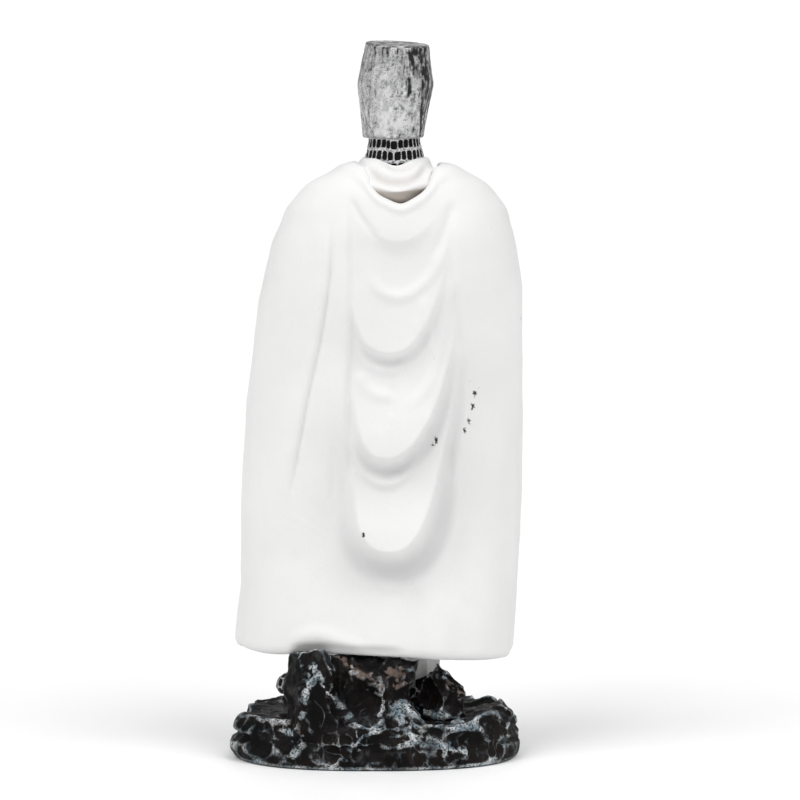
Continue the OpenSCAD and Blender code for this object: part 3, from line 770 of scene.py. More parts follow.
# Where the side panels stand higher than the gathered middle: path downwards, rise, and the high side
STEPS = [
    ([(4.0, 79.4), (3.75, 74), (3.6, 66), (3.8, 58), (4.1, 50), (4.0, 43), (3.6, 37)], 0.62, 1),
    ([(-11.4, 79), (-10.8, 73), (-11.2, 66), (-12.4, 58), (-12.6, 50), (-11.6, 42), (-10.2, 36)], 0.36, -1),
]


def ends_fade(t, share=0.22):
    return smoothstep(0, share, t) * smoothstep(1, 1 - share, t)


def back_folds(at):
    """Height of the folds on the cloak's back at (x, z) points, and how much painted shade darkens each
    point under a swag.
    """
    total, shade = np.zeros(len(at)), np.zeros(len(at))
    for swag in SWAGS:
        d, t = beside(at, through(swag["path"], 160))
        inside = -d
        low = np.sin(math.pi * np.clip(t, 0, 1))
        lip = 0.9 + (swag["lip"] - 0.9) * low ** 3
        fall = np.clip(-inside / lip, 0, 1)
        fall = 1 - (1 - fall) ** 2.2
        strong = (0.22 + 0.78 * low ** 1.7) * smoothstep(0, 0.36, t) * smoothstep(1, 0.72, t)
        strong = strong * (1 - 0.3 * smoothstep(0.55, 0.85, t))
        face = swag["out"] * bell(np.maximum(inside, 0), swag["fade"]) * (1 - fall)
        under = swag["drop"] * fall * bell(np.minimum(inside + lip, 0), swag["fade"])
        total += strong * (face - under)
        # Painted shade: a dark band just under each swag's lip
        shade_under_lip = smoothstep(0.1, -0.7 * lip, inside) * smoothstep(-1.35 * lip, -0.85 * lip, inside)
        shade = np.maximum(shade, shade_under_lip * low ** 5 * smoothstep(0.15, 0.45, t) * swag["drop"] / 2.1)
    for path, height, width in ROLLS:
        d, t = beside(at, through(path, 120))
        total += height * bell(d, width) * ends_fade(t)
    for path, depth, width in CREASES:
        d, t = beside(at, through(path, 120))
        total -= depth * bell(d, width) * ends_fade(t)
    for path, rise, high in STEPS:
        d, t = beside(at, through(path, 140))
        d = d * high
        near = bell(np.maximum(d, 0), 3.0) * 0.5 * smoothstep(-0.45, 0.45, d) \
            - bell(np.minimum(d, 0), 2.2) * 0.5 * smoothstep(0.45, -0.45, d)
        total += rise * near * ends_fade(t, 0.15)
    d, t = beside(at, through(CREASES[0][0], 160))
    total += 0.30 * ends_fade(t) * smoothstep(-0.2, 0.5, d) * bell(np.maximum(d - 0.5, 0), 3.5)
    return total, shade


def cloak_pieces():
    """The cloak as a sheet wrapped round the body, with its folds, a painted highlight along its neckline,
    and painted shade in its creases and under its swags.
    """
    rows, columns = 215, 225
    v = np.linspace(0, 1, rows)[:, None]
    v = 1.2 * v - 0.2 * v ** 2
    s = np.linspace(0, 1, columns)[None]
    u = s + 0.42 * np.sin(2 * math.pi * s) / (2 * math.pi)
    z0 = HEM_H + (SIDE_TOP_H - HEM_H) * v
    w = np.radians(cloak_wrap(z0))
    a = -w + (math.pi + 2 * w) * u
    hem = HEM_H + HEM_SLOPE * (BODY_X + 20 * np.cos(a))
    hem = hem + 1.0 * smoothstep(14, 4, BODY_X + 20 * np.cos(a))
    hem = hem + 0.25 * np.sin(3 * a + 1) * smoothstep(1, -1, np.sin(a))
    behind = smoothstep(-0.1, 0.15, np.sin(a))
    top = neckline(signed_power(np.cos(a), 0.83)) * behind + (1 - behind) * (
        SIDE_TOP_H - NECK_SCOOP * np.maximum(-np.sin(a), 0) ** 4)
    z = hem + (top - hem) * v

    side = smoothstep(-0.06, 0.06, np.cos(a))
    rx = cloak_left(z) * side + cloak_right(z) * (1 - side)
    deep = smoothstep(-0.08, 0.08, np.sin(a))
    ry = cloak_back(z) * deep + cloak_front(z) * (1 - deep)
    x, y = oval(a, rx, ry, CLOAK_E)
    base = joined(x + BODY_X, y, z)

    n = unit(np.cross(np.gradient(base, axis=1), np.gradient(base, axis=0)))
    at = base[..., [0, 2]].reshape(-1, 2)
    on_back = smoothstep(0.12, 0.5, np.sin(a))
    folds, shade = [part.reshape(rows, columns) * on_back for part in back_folds(at)]

    # Long soft folds down the sides and the front edges, deepening towards the hem
    hang = smoothstep(78, 40, z)
    waves = 0.45 * np.sin(7.5 * a + 0.6) + 0.3 * np.sin(13 * a + 1.7 + 0.02 * z)
    folds = folds + waves * hang * (1 - smoothstep(0.05, 0.45, np.sin(a)))
    drape = value_noise(base * [1, 1, 0.3], 7.0, 5)
    folds = folds + 0.16 * drape * smoothstep(82, 70, z) + 0.05 * value_noise(base, 2.2, 6)

    # A rolled lip along the neckline, and a hem that turns under at the left of the back
    below_top = top - z
    folds = folds + 0.35 * bell(below_top - 0.5, 0.5)
    above_hem = z - hem
    curl = smoothstep(-5, -1.5, base[..., 0]) * smoothstep(12.5, 10, base[..., 0]) * on_back
    folds = folds - curl * 0.7 * smoothstep(1.3, 0.1, above_hem)
    folds = folds - (1 - curl) * 0.2 * smoothstep(0.6, 0, above_hem)

    outer = base + n * folds[..., None]
    inner = base - n * (CLOAK_T + np.maximum(-folds, 0) * 0.85)[..., None]
    points, faces = sheet_mesh(outer, inner)
    # Painted highlight along the rolled lip of the neckline
    neck = smoothstep(1.0, 0.0, np.abs(below_top - 0.4)) * on_back
    raised = spread_over(points, 0.6 * neck)
    d, t = beside(at, through(CREASES[0][0], 160))
    line = (bell(d, 0.22) * ends_fade(t)).reshape(rows, columns) * on_back
    # Painted shade in the folds' hollows, along the long crease and under the swags
    crease = np.clip(-folds / 2.6, 0, 1) * 0.3 + 0.35 * line + 0.75 * shade
    return points, faces, raised, spread_over(points, crease), spread_over(points, np.ones(rows * columns))


# Chips in the cloak's back, each by x, z and size
CHIPS = [(-13.8, 51.8, 0.75), (-13.4, 49.9, 0.7), (-12.9, 47.9, 0.65), (-12.4, 46.4, 0.6), (-8.3, 45.3, 0.7),
         (1.7, 32.2, 0.55), (-8.0, 44.6, 0.45), (-20.6, 61.6, 0.75), (-20.6, 59.5, 0.9), (-20.6, 57.2, 0.8)]


def on_back(points, x, z):
    """The outer point nearest to a place seen from behind."""
    far = np.hypot(points[:, 0] - x, points[:, 2] - z) + 50 * (points[:, 1] < 1)
    return points[np.argmin(far)]


points, faces, raised, hollow, outer_face = cloak_pieces()
shell = points[outer_face > 0.5]
with_chips(cloak_paint, cloak_base, [(on_back(shell, x, z), size) for x, z, size in CHIPS])
piece("cloak_cloth", points, faces, cloak_paint, "white_paint", ["cloak"], raised, hollow, outer_face)


# ---- Cowl ----

# Grooves round the cowl's back, as (x, z) paths with their depth and width
COWL_GROOVES = [
    ([(1.6, 83.2), (0.2, 81.9), (-1.8, 81.1), (-4.2, 81.0), (-6.2, 82.0), (-7.6, 83.6)], 0.55, 0.5),
    ([(-1.2, 83.4), (-2.8, 82.8), (-4.8, 83.0), (-6.4, 84.0)], 0.25, 0.5),
]


def cowl_piece():
    """A soft collar round the neck: it rises to a rolled edge, spreads, and tucks in under the cloak."""
    around, across = 260, 84
    a = turns(around)[:, None]
    back, front = np.maximum(np.sin(a), 0), np.maximum(-np.sin(a), 0)
    dip = 1.0 * bell((np.degrees(a) - 93) / 24, 1)
    edge_h = 84.1 - dip - 1.6 * front ** 1.5
    inner_r = 3.95 + 0.3 * back + 0.35 * front
    outer_r = 6.5 + 1.45 * back + 0.7 * front
    low_h = 80.4 - 2.2 * back - 2.2 * front
    # Round the section: up the inside, over the edge, out and down, and back underneath
    spots = [(inner_r, low_h + 1.0), (inner_r, edge_h - 1.2), (inner_r + 0.12, edge_h - 0.25),
             (inner_r + 0.35, edge_h), (inner_r + 0.8, edge_h - 0.25),
             (0.55 * inner_r + 0.45 * outer_r, edge_h - 0.95), (0.2 * inner_r + 0.8 * outer_r, edge_h - 2.1),
             (outer_r + 0.1 * back, edge_h - 3.3), (outer_r - 0.15 - 0.25 * back, low_h + 0.6 + 0.5 * back),
             (outer_r - 0.8 - 0.6 * back, low_h - 0.3 * back), (inner_r + 0.6, low_h + 0.1)]
    ring_r = np.concatenate([r + 0 * a for r, h in spots], 1)
    ring_h = np.concatenate([h + 0 * a for r, h in spots], 1)
    t = np.linspace(0, len(spots), across, endpoint=False)
    k = np.floor(t).astype(int)
    f = t - k
    count = len(spots)

    def soft(values):
        p = [values[:, (k + m) % count] for m in (-1, 0, 1, 2)]
        return 0.5 * (2 * p[1] + (p[2] - p[0]) * f + (2 * p[0] - 5 * p[1] + 4 * p[2] - p[3]) * f ** 2
                      + (3 * p[1] - p[0] - 3 * p[2] + p[3]) * f ** 3)

    r, h = soft(ring_r), soft(ring_h)
    place = joined(BODY_X + r * np.cos(a), r * np.sin(a) + 0.2, h)
    wrap_round = np.concatenate([place[-1:], place, place[:1]])
    da = np.gradient(wrap_round, axis=0)[1:-1]
    wrap_over = np.concatenate([place[:, -1:], place, place[:, :1]], 1)
    dt = np.gradient(wrap_over, axis=1)[:, 1:-1]
    n = unit(np.cross(dt, da))
    shown = smoothstep(3.2, 4.2, t)[None] * smoothstep(8.6, 7.6, t)[None] * smoothstep(0.1, 0.5, np.sin(a))
    lift = 0.10 * np.sin(5 * a + 2.0 * h) * smoothstep(3, 4, t)[None] + 0.05 * value_noise(place, 1.8, 15)
    groove = 0 * r
    at = place[..., [0, 2]].reshape(-1, 2)
    for path, depth, width in COWL_GROOVES:
        d, s = beside(at, through(path, 90))
        cut = (bell(d, width) * ends_fade(s)).reshape(r.shape) * shown
        roll = (bell(d + 1.1, 0.9) * ends_fade(s)).reshape(r.shape) * shown
        groove = groove + depth * cut
        lift = lift - depth * cut + 0.45 * depth * roll
    place = place + n * lift[..., None]
    # Painted shade in the grooves, and brown painted shade where the collar tucks in under the cloak
    deep = smoothstep(6.7, 8.0, t)[None] * smoothstep(0.1, 0.5, np.sin(a))
    piece("cowl_roll", place.reshape(-1, 3), loop_faces(around, across), cowl_paint, "white_paint", ["cowl"],
          hollow=(groove * 0.7 + deep).ravel())


cowl_piece()


# ---- Coif ----

def coif_piece():
    """The mail at the neck, which narrows under the helm."""
    rows, columns, pitch = 96, 300, 1.55
    z = np.linspace(81.6, 90.2, rows)[:, None]
    rx = outline([[81.6, 4.5], [83.2, 4.05], [84.6, 3.75], [86.2, 3.35], [90.2, 3.35]], 0.4)(z)
    ry = outline([[81.6, 3.6], [83.2, 4.05], [84.6, 4.0], [86.2, 3.7], [90.2, 3.7]], 0.4)(z)
    a = turns(columns)[None]
    cells = 28
    rib = links(z - 80.95 + 0.4 * np.cos(a - math.pi / 2), a * cells / (2 * math.pi) * 0.9, pitch, 0.9)
    lift = 0.26 * rib + 0.06 * value_noise(joined(6 * a, z, 0), 2.0, 13)
    x, y = oval(a, rx + lift, ry + lift, 2.0)
    solid("coif_neck", joined(BODY_X + x, y + 0.1, z), mail, "mail_paint", ["mail_coif"], rib, 1 - rib)


coif_piece()


# ---- Helm ----

def helm_piece():
    """The great helm: its plates, cross, slits, rivets and flat crown, and the blind socket inside."""
    columns = 320
    a = turns(columns)
    rim, crown = HELM_LO[2], HELM_HI[2]
    half_x = outline([[rim, 4.2], [94.4, 5.32], [crown, 4.4]], 0.5)
    half_y = outline([[rim, 5.4], [94.4, 6.5], [crown, 5.45]], 0.5)
    e = 2.2

    def ring(z, grow, squeeze=1.0):
        x, y = oval(a, (half_x(z) + grow) * squeeze, (half_y(z) + grow) * squeeze, e)
        lean = 0.2 - 0.046 * (z - rim)
        tilt = (0.05 * x - 0.05 * y - 0.1) * smoothstep(rim + 3, crown, z)
        return joined(BODY_X + x + lean, y - 0.4, z + tilt)

    def socket(z, r):
        lean = 0.2 - 0.046 * (z - rim)
        return joined(BODY_X + r * np.cos(a) + lean, r * np.sin(a), z)

    z_out = np.linspace(rim + 0.25, crown - 0.3, 106)
    place = np.stack([ring(z, 0) for z in z_out])
    x, y, z = place[..., 0] - BODY_X, place[..., 1], place[..., 2]
    behind, ahead = smoothstep(0, 0.5, y), smoothstep(0, -0.5, y)

    # The back plate laps over the side plates, and its lower edge is a little higher than theirs
    plate_x = x + 0.05 * (z - rim) - 0.1
    plate = smoothstep(3.55, 3.30, np.abs(plate_x)) * behind
    lift = 0.14 * plate
    edge = bell(np.abs(plate_x) - 3.58, 0.12) * behind * (0.35 + 0.65 * smoothstep(0, -1, x))
    lift -= 0.08 * edge
    # Front: a face plate, a raised cross over the eyes and down the nose, eye slits and breathing holes
    face = smoothstep(3.9, 3.6, np.abs(x)) * ahead
    lift += 0.14 * face
    cross = np.maximum(smoothstep(0.62, 0.45, np.abs(x)), smoothstep(0.95, 0.75, np.abs(z - 94.6))
                       * smoothstep(4.3, 4.0, np.abs(x))) * ahead
    lift += 0.20 * cross
    slit = smoothstep(0.30, 0.20, np.abs(z - 94.6)) * smoothstep(3.75, 3.6, np.abs(x)) \
        * smoothstep(0.55, 0.68, np.abs(x)) * ahead
    lift -= 1.15 * slit
    holes = np.zeros_like(z)
    for side in (LEFT, RIGHT):
        for row in range(4):
            for k in range(3 - row % 2):
                hx, hz = side * (1.35 + 0.85 * k + 0.42 * (row % 2)), 92.6 - 1.15 * row
                holes = np.maximum(holes, smoothstep(0.30, 0.20, np.hypot(x - hx, z - hz)) * ahead)
    lift -= 0.7 * holes
    # Rivets down the edges of the plates
    rivets = np.zeros_like(z)
    for hz in np.arange(rim + 1.6, crown - 1, 1.9):
        for side in (LEFT, RIGHT):
            near = np.hypot(x - side * 3.1, z - hz)
            rivets = np.maximum(rivets, smoothstep(0.26, 0.10, near) * ahead)
    lift += 0.14 * rivets
    # Hammered and cast unevenness, and a thin raised brow across the front below the crown
    lift += 0.05 * value_noise(place, 1.5, 21) + 0.022 * value_noise(place, 0.55, 22)
    brow = bell(z - (crown - 0.9), 0.25) * ahead
    lift += 0.06 * brow
    n = unit(np.cross(np.gradient(place, axis=1), np.gradient(place, axis=0)))
    n[:, 0], n[:, -1] = n[:, 1], n[:, -2]
    walls = place + n * lift[..., None]

    inside = [socket(z, 2.5) for z in (93.4, 92.0, 90.65)] + [ring(90.6, -1.3), ring(90.3, -1.05),
                                                            ring(89, -0.75), ring(87.4, -0.55)]
    turn = [ring(rim + 0.12, -0.42), ring(rim + 0.02, -0.28), ring(rim + 0.05, -0.10)]
    top = [ring(crown - 0.16, -0.02), ring(crown - 0.06, -0.07), ring(crown, -0.18),
           ring(crown - 0.02, -0.4)]
    plate_top = []
    for k in np.linspace(0.88, 0.1, 40):
        r = ring(crown, 0, squeeze=k)
        r[:, 2] += 0.05 * value_noise(r, 1.1, 23) - 0.05
        plate_top.append(r)
    rings = inside + turn + list(walls) + top + plate_top
    first = len(inside) + len(turn)
    walls_at = slice(first, first + len(z_out))
    raised = np.zeros((len(rings), columns))
    hollow = np.zeros((len(rings), columns))
    brushed = value_noise(place * [2.2, 2.2, 0.9], 1.0, 34) + 0.6 * value_noise(place, 0.42, 35)
    # Painted highlight on the lower middle of the back, broken up by brushed streaks
    painted_highlight_and_brushing = bell(x - 0.3, 2.6) * behind * smoothstep(97.5, 90, z) * smoothstep(-0.5, 0.4, brushed) * 0.75
    painted_highlight_and_brushing = painted_highlight_and_brushing + smoothstep(0.1, 0.7, brushed) * 0.3
    # Painted shade towards the crown and at the sides
    painted_shade_top_and_sides = smoothstep(94, 99, z) * 0.35 + 0.25 * smoothstep(2.6, 4.2, np.abs(x))
    raised[walls_at] = (0.5 * brow + rivets + 0.6 * bell(cross - 0.5, 0.2)
                        + 0.6 * bell(plate - 0.5, 0.16) * behind + painted_highlight_and_brushing)
    deep = 1.1 * edge * (0.6 + 0.6 * value_noise(place, 1.2, 24)) + slit + holes
    deep += 0.5 * bell(z - rim - 0.2, 0.2) + painted_shade_top_and_sides * smoothstep(-0.3, 0.5, -brushed) * behind
    # Black streaks of wash, and painted shade down the upper back and the side plate on the knight's right,
    # with more dark specks in it
    streaks = value_noise(place * [2.6, 2.6, 0.32], 1.0, 25) + 0.6 * value_noise(
        place * [5.5, 5.5, 0.7], 1.0, 26)
    painted_shade_right = smoothstep(0.4, -3.2, x) * behind * (0.35 + 0.65 * smoothstep(90, 94.5, z))
    painted_shade_right = painted_shade_right + 0.9 * smoothstep(-3.3, -3.8, plate_x) * behind
    wash_and_shade = smoothstep(0.0, 0.45, streaks + np.minimum(1.15 * painted_shade_right - 0.8, 0.22))
    speck = smoothstep(0.30, 0.65, value_noise(place, 0.33, 27) + 0.25 * painted_shade_right)
    top_chips = smoothstep(0.0, 0.35, value_noise(place * [3.0, 3.0, 0.6], 1.0, 30)) * bell(
        z - (crown - 1.0), 0.75) * behind
    hollow[walls_at] = np.clip(deep, 0, 1) + wash_and_shade + 0.55 * speck + top_chips
    # The flat crown, worn and stained in spots
    for k in range(walls_at.stop, len(rings)):
        spots = value_noise(rings[k], 0.7, 28) + 0.5 * value_noise(rings[k], 0.35, 29)
        raised[k] = smoothstep(0.3, 0.8, spots) * 0.45
        hollow[k] = smoothstep(0.35, -0.3, spots) * 0.7 + 0.15
    hollow[:len(inside)] = 1
    solid("helm_shell", rings, steel, "steel_paint", ["great_helm"], raised, hollow)


helm_piece()


# ---- Rocks ----

BASE_E = 2.5
# Heel and toe of each foot
FEET = (((3.8, -1), (12.6, -9.9)), ((-5.4, -0.9), (-9.2, -12.6)))
BASE_HALF = (BASE_HI[:2] - BASE_LO[:2]) / 2 - [0.2, 0.4]
GROUND_H = BASE_HI[2]
base_share = outline([[0, 0.99], [0.8, 0.995], [1.8, 1.0], [4, 1.0], [5.6, 0.975], [7, 0.91]], 0.4)


def base_field(p):
    """The slab of rock: cracked and layered round its side, stepped on top."""
    x, y, z = p.T
    qx, qy = np.abs(x / BASE_HALF[0]), np.abs(y / BASE_HALF[1])
    rho = np.maximum((qx ** BASE_E + qy ** BASE_E) ** (1 / BASE_E), 1e-3)
    a = np.arctan2(np.sign(y) * qy ** (BASE_E / 2), np.sign(x) * qx ** (BASE_E / 2))
    waves = 0.012 * np.sin(3 * a + 0.7) + 0.010 * np.sin(7 * a)
    share = base_share(z) * (1 + smoothstep(0.3, 2.2, z) * waves)
    reach = np.hypot(x, y) / rho
    side = (rho - share * 1.012) * reach
    wide = value_noise(p * [1, 1, 1.6], 7.5, 31)
    side -= (0.45 * wide + 0.25 * smoothstep(10, 18, x)) * smoothstep(-0.5, 1.8, z)
    crack_h = 4.9 + 0.9 * value_noise(p * [1, 1, 0.2], 11, 32) - 0.05 * np.abs(x)
    open_at = 0.35 + 0.65 * smoothstep(4, 14, x) + 0.3 * smoothstep(2, -14, x) * value_noise(p, 9, 33)
    side += 1.25 * open_at * bell(z - crack_h, 0.5)
    low_crack = 2.5 + 0.7 * value_noise(p * [1, 1, 0.2], 8, 34)
    side += 0.5 * (0.5 + value_noise(p, 6, 35)) * bell(z - low_crack, 0.35)
    side = side * 0.8
    heap = fbm(p * [1, 1, 0], 9, 3, 36)
    steps = np.floor(heap * 3.2) / 3.2
    heap = steps + (heap - steps) ** 3 * 10
    flat = smoothstep(9.5, 6.5, np.hypot((x - 1) / 1.5, y + 6))
    top = z - (GROUND_H - 0.35 + 0.55 * np.clip(heap, -1.2, 0.8) * (1 - 0.8 * flat))
    rock_d = smooth_max(side, top, 0.5)
    for heel, toe in FEET:
        q = p * [1, 1, 0]
        pad = np.maximum(bone(q, (*heel, 0), (*toe, 0), 2.3, 2.1), np.abs(z - 4) - (GROUND_H - 4.15))
        rock_d = smooth_min(rock_d, pad, 0.3)
    recess = np.maximum(np.hypot(x, y) - 8.05, z - 3.45)
    foot = np.maximum(0.12 - z, -np.maximum((rho - 0.956) * reach, z - BASE_LO[2]))
    return np.maximum(np.maximum(rock_d, -recess), foot)


def rough_rock(p):
    """Small breaks and grit for a rock's surface."""
    ridge = 1 - np.abs(value_noise(p, 2.1, 41))
    return 0.24 - 0.34 * ridge ** 2 + 0.07 * value_noise(p, 0.9, 42) + 0.035 * value_noise(p, 0.45, 43)


def base_detail(p):
    """Rough rock everywhere but on the foot of the slab and in its recess."""
    recess = smoothstep(9, 8.6, np.hypot(p[:, 0], p[:, 1])) * smoothstep(4, 3.8, p[:, 2])
    under = smoothstep(0.9, 0.5, p[:, 2]) + recess
    return rough_rock(p) * np.clip(1 - under, 0, 1)


# Ridges on the back of the rocks, as (x, z) paths, with their width: pale ones, then tan ones
PALE_STROKES = [
    ([(7.6, 15.8), (8.4, 13.2), (9.4, 10.9), (9.7, 8.5), (8.9, 7.2)], 0.42),
    ([(7.9, 14.4), (7.0, 11.4), (5.4, 9.3), (4.0, 7.3)], 0.22),
    ([(2.1, 12.2), (0.1, 11.0), (-1.2, 9.4), (-0.5, 6.6)], 0.20),
    ([(-0.8, 5.4), (-2.2, 7.4), (-3.4, 8.6), (-6.6, 7.0), (-12, 5.8), (-17.4, 5.2)], 0.30),
    ([(2.6, 1.6), (1.9, 4.2), (0.0, 6.2), (-1.8, 7.2)], 0.28),
    ([(11.3, 0.9), (11.0, 3.4), (11.7, 4.7), (14.2, 5.0)], 0.26),
    ([(-0.6, 4.3), (-4.4, 4.6), (-7.6, 3.8), (-10.9, 2.6), (-15.4, 2.2)], 0.45),
    ([(4.9, 6.0), (3.7, 6.9), (2.6, 5.6), (3.0, 4.1)], 0.20),
    ([(-1.6, 9.9), (-2.6, 8.6), (-3.6, 6.6), (-5.4, 5.4)], 0.35),
]
TAN_STROKES = [
    ([(6.9, 16.0), (3.7, 14.0), (1.0, 12.7), (-1.2, 11.4), (-2.6, 9.4)], 0.26),
    ([(-1.9, 14.6), (-2.6, 13.2), (-3.4, 11.6), (-3.8, 10.4)], 0.8),
    ([(17.2, 5.7), (15, 6.3), (11.3, 6.0), (8.6, 4.4)], 0.40),
    ([(-7.0, 12.6), (-6.2, 10.8), (-4.9, 9.2)], 0.35),
    ([(-10.2, 12), (-11.4, 10), (-12.2, 8.4)], 0.45),
]


def strokes_on(points, normals, strokes):
    """How strongly some brush strokes cover each point that faces back."""
    at, total = points[:, [0, 2]], np.zeros(len(points))
    sway = 0.4 * value_noise(points, 1.9, 46) + 0.22 * value_noise(points, 0.6, 47)
    thick = np.clip(1 + 1.1 * value_noise(points, 2.3, 48), 0.3, 2)
    broken = smoothstep(-0.5, 0.1, value_noise(points, 1.1, 49) + 0.5 * value_noise(points, 0.4, 50))
    for path, width in strokes:
        d, t = beside(at, through(path, 60))
        core = bell(d + sway, width * thick) + 0.35 * bell(d + sway, 3.2 * width * thick)
        total = np.maximum(total, np.minimum(core, 1) * ends_fade(t, 0.25))
    return total * broken * smoothstep(-0.1, 0.25, normals[:, 1]) * smoothstep(4, 7, points[:, 1])


def rock_piece(name, node, field, lo, hi, scoops, voxel, detail=rough_rock):
    """Skins a rock, raises the brush strokes a little, and notes its ridges, hollows and tan paint."""
    points, faces = skin(field, lo, hi, voxel, scoops, detail)
    points = relax(points, faces, 1)
    n = normals_of(points, faces)
    pale, tan = strokes_on(points, n, PALE_STROKES), strokes_on(points, n, TAN_STROKES)
    points = points + n * (0.16 * np.maximum(pale, tan) * smoothstep(1.2, 2.4, points[:, 2]))[:, None]
    up, down = relief_of(points, faces, 5, 0.13)
    wide_up, wide_down = relief_of(points, faces, 36, 0.2)
    piece(name, points, faces, rock, "rock_paint", [node], 0.6 * up + 0.5 * wide_up + 0.95 * pale,
          0.5 * down + 0.7 * wide_down, 0.7 * wide_up + tan)


lo, hi = BASE_LO, BASE_HI
chips = scoops_on(base_field, lo, hi, 330, (2.2, 6.5), 0.62, 51, above=1.6)


def off_the_feet(at):
    """Whether a chip's centre is clear of the ground under both feet."""
    flat = (at * [1, 1, 0])[None]
    return all(bone(flat, (*heel, 0), (*toe, 0), 2.4, 2.2)[0] > 0 or at[2] < 5 for heel, toe in FEET)


chips = [(at, r) for at, r in chips if off_the_feet(at) and at[2] > 0.8 + math.sqrt(1.3 * r)]
rock_piece("rock_slab", "rock_base", base_field, lo - [0, 0, 0.7], hi, chips, 0.22, base_detail)

# Corners of the three lumps that make up the boulder
BOULDERS = [
    [[12.6, 9, 10], [11.7, 9, 14.8], [11, 10.6, 15.7], [7.5, 12, 16.3], [6.2, 13.4, 13], [9.5, 13.9, 11.5],
     [10.3, 14.2, 7.2], [7.2, 14.5, 2.8], [5.4, 14.3, 2.8], [12.3, 11, 3.4], [5, 9, 15.2], [9.5, 6.5, 14.4],
     [6, 6.5, 6], [12, 7.5, 6]],
    [[7, 8, 15.7], [4.6, 9.8, 14.8], [1, 10, 14.3], [-2, 9.6, 14.8], [-6.2, 9.0, 14.7], [3.0, 12.3, 13.1],
     [0.1, 12.8, 11.5], [-2.2, 13.1, 9.0], [5, 5, 6], [-3.6, 5, 6], [-4.4, 10.2, 8.2], [4.6, 12.0, 6]],
    [[5, 14.4, 2.8], [-3, 14.2, 2.8], [-6.5, 13, 6.6], [-4, 10, 9.2], [3, 11.4, 8.2], [-10.5, 11.3, 3.4],
     [6.5, 13.5, 6.5], [-8, 8, 7.5], [5, 6, 2.8]],
]
boulder_planes = [hull_planes(corners) for corners in BOULDERS]


def boulder_field(p):
    """The tall boulder, with a hollow scooped out of its back."""
    d = [facets(p, planes) - 0.3 for planes in boulder_planes]
    whole = smooth_min(smooth_min(d[0], d[1], 0.5), d[2], 0.8)
    whole = smooth_max(whole, -ball(p, [2.7, 15.0, 9.9], [3.3, 3.6, 2.9]), 0.3)
    whole = whole - 0.35 * value_noise(p, 4.0, 61) + 0.05
    return np.maximum(whole, 3.4 - p[:, 2])


lo, hi = [-12, 4.5, 3], [13.8, 16.2, 17.2]
chips = scoops_on(boulder_field, lo, hi, 150, (1.6, 4.5), 0.42, 62, above=6.8)
rock_piece("rock_boulder", "rear_boulder", boulder_field, lo, hi, chips, 0.16)

OUTCROP = [[-8, 4.5, 12.2], [-6.6, 6.6, 12.2], [-8.8, 6.4, 12.8], [-12.1, 4.4, 8], [-5, 4.5, 6.4],
           [-9.5, 8.8, 6.6], [-11.5, 4.4, 10.6], [-11.9, 7.2, 6.6], [-12.0, 6.4, 9.8]]
outcrop_planes = hull_planes(OUTCROP)


def outcrop_field(p):
    """The small outcrop with folds like cloth and a stub on top."""
    lump = facets(p, outcrop_planes) - 0.5 - 0.3 * value_noise(p, 3.2, 71)
    ripple = np.sin(2.6 * p[:, 0] + 0.8 * p[:, 2] + 1.5 * value_noise(p, 4, 72))
    lump -= 0.28 * ripple * smoothstep(6, 9, p[:, 2])
    stub = bone(p, (-8.5, 6.2, 10), (-8.6, 6.3, 14.5), 0.9, 0.72)
    return np.maximum(smooth_min(lump, stub, 0.6), 5.8 - p[:, 2])


lo, hi = [-13.2, 2.6, 5.5], [-3.8, 10, 15.4]
chips = scoops_on(outcrop_field, lo, hi, 60, (1.2, 3.2), 0.4, 73, above=6.5)
rock_piece("rock_outcrop", "side_outcrop", outcrop_field, lo, hi, chips, 0.13)


# ---- Legs and feet ----

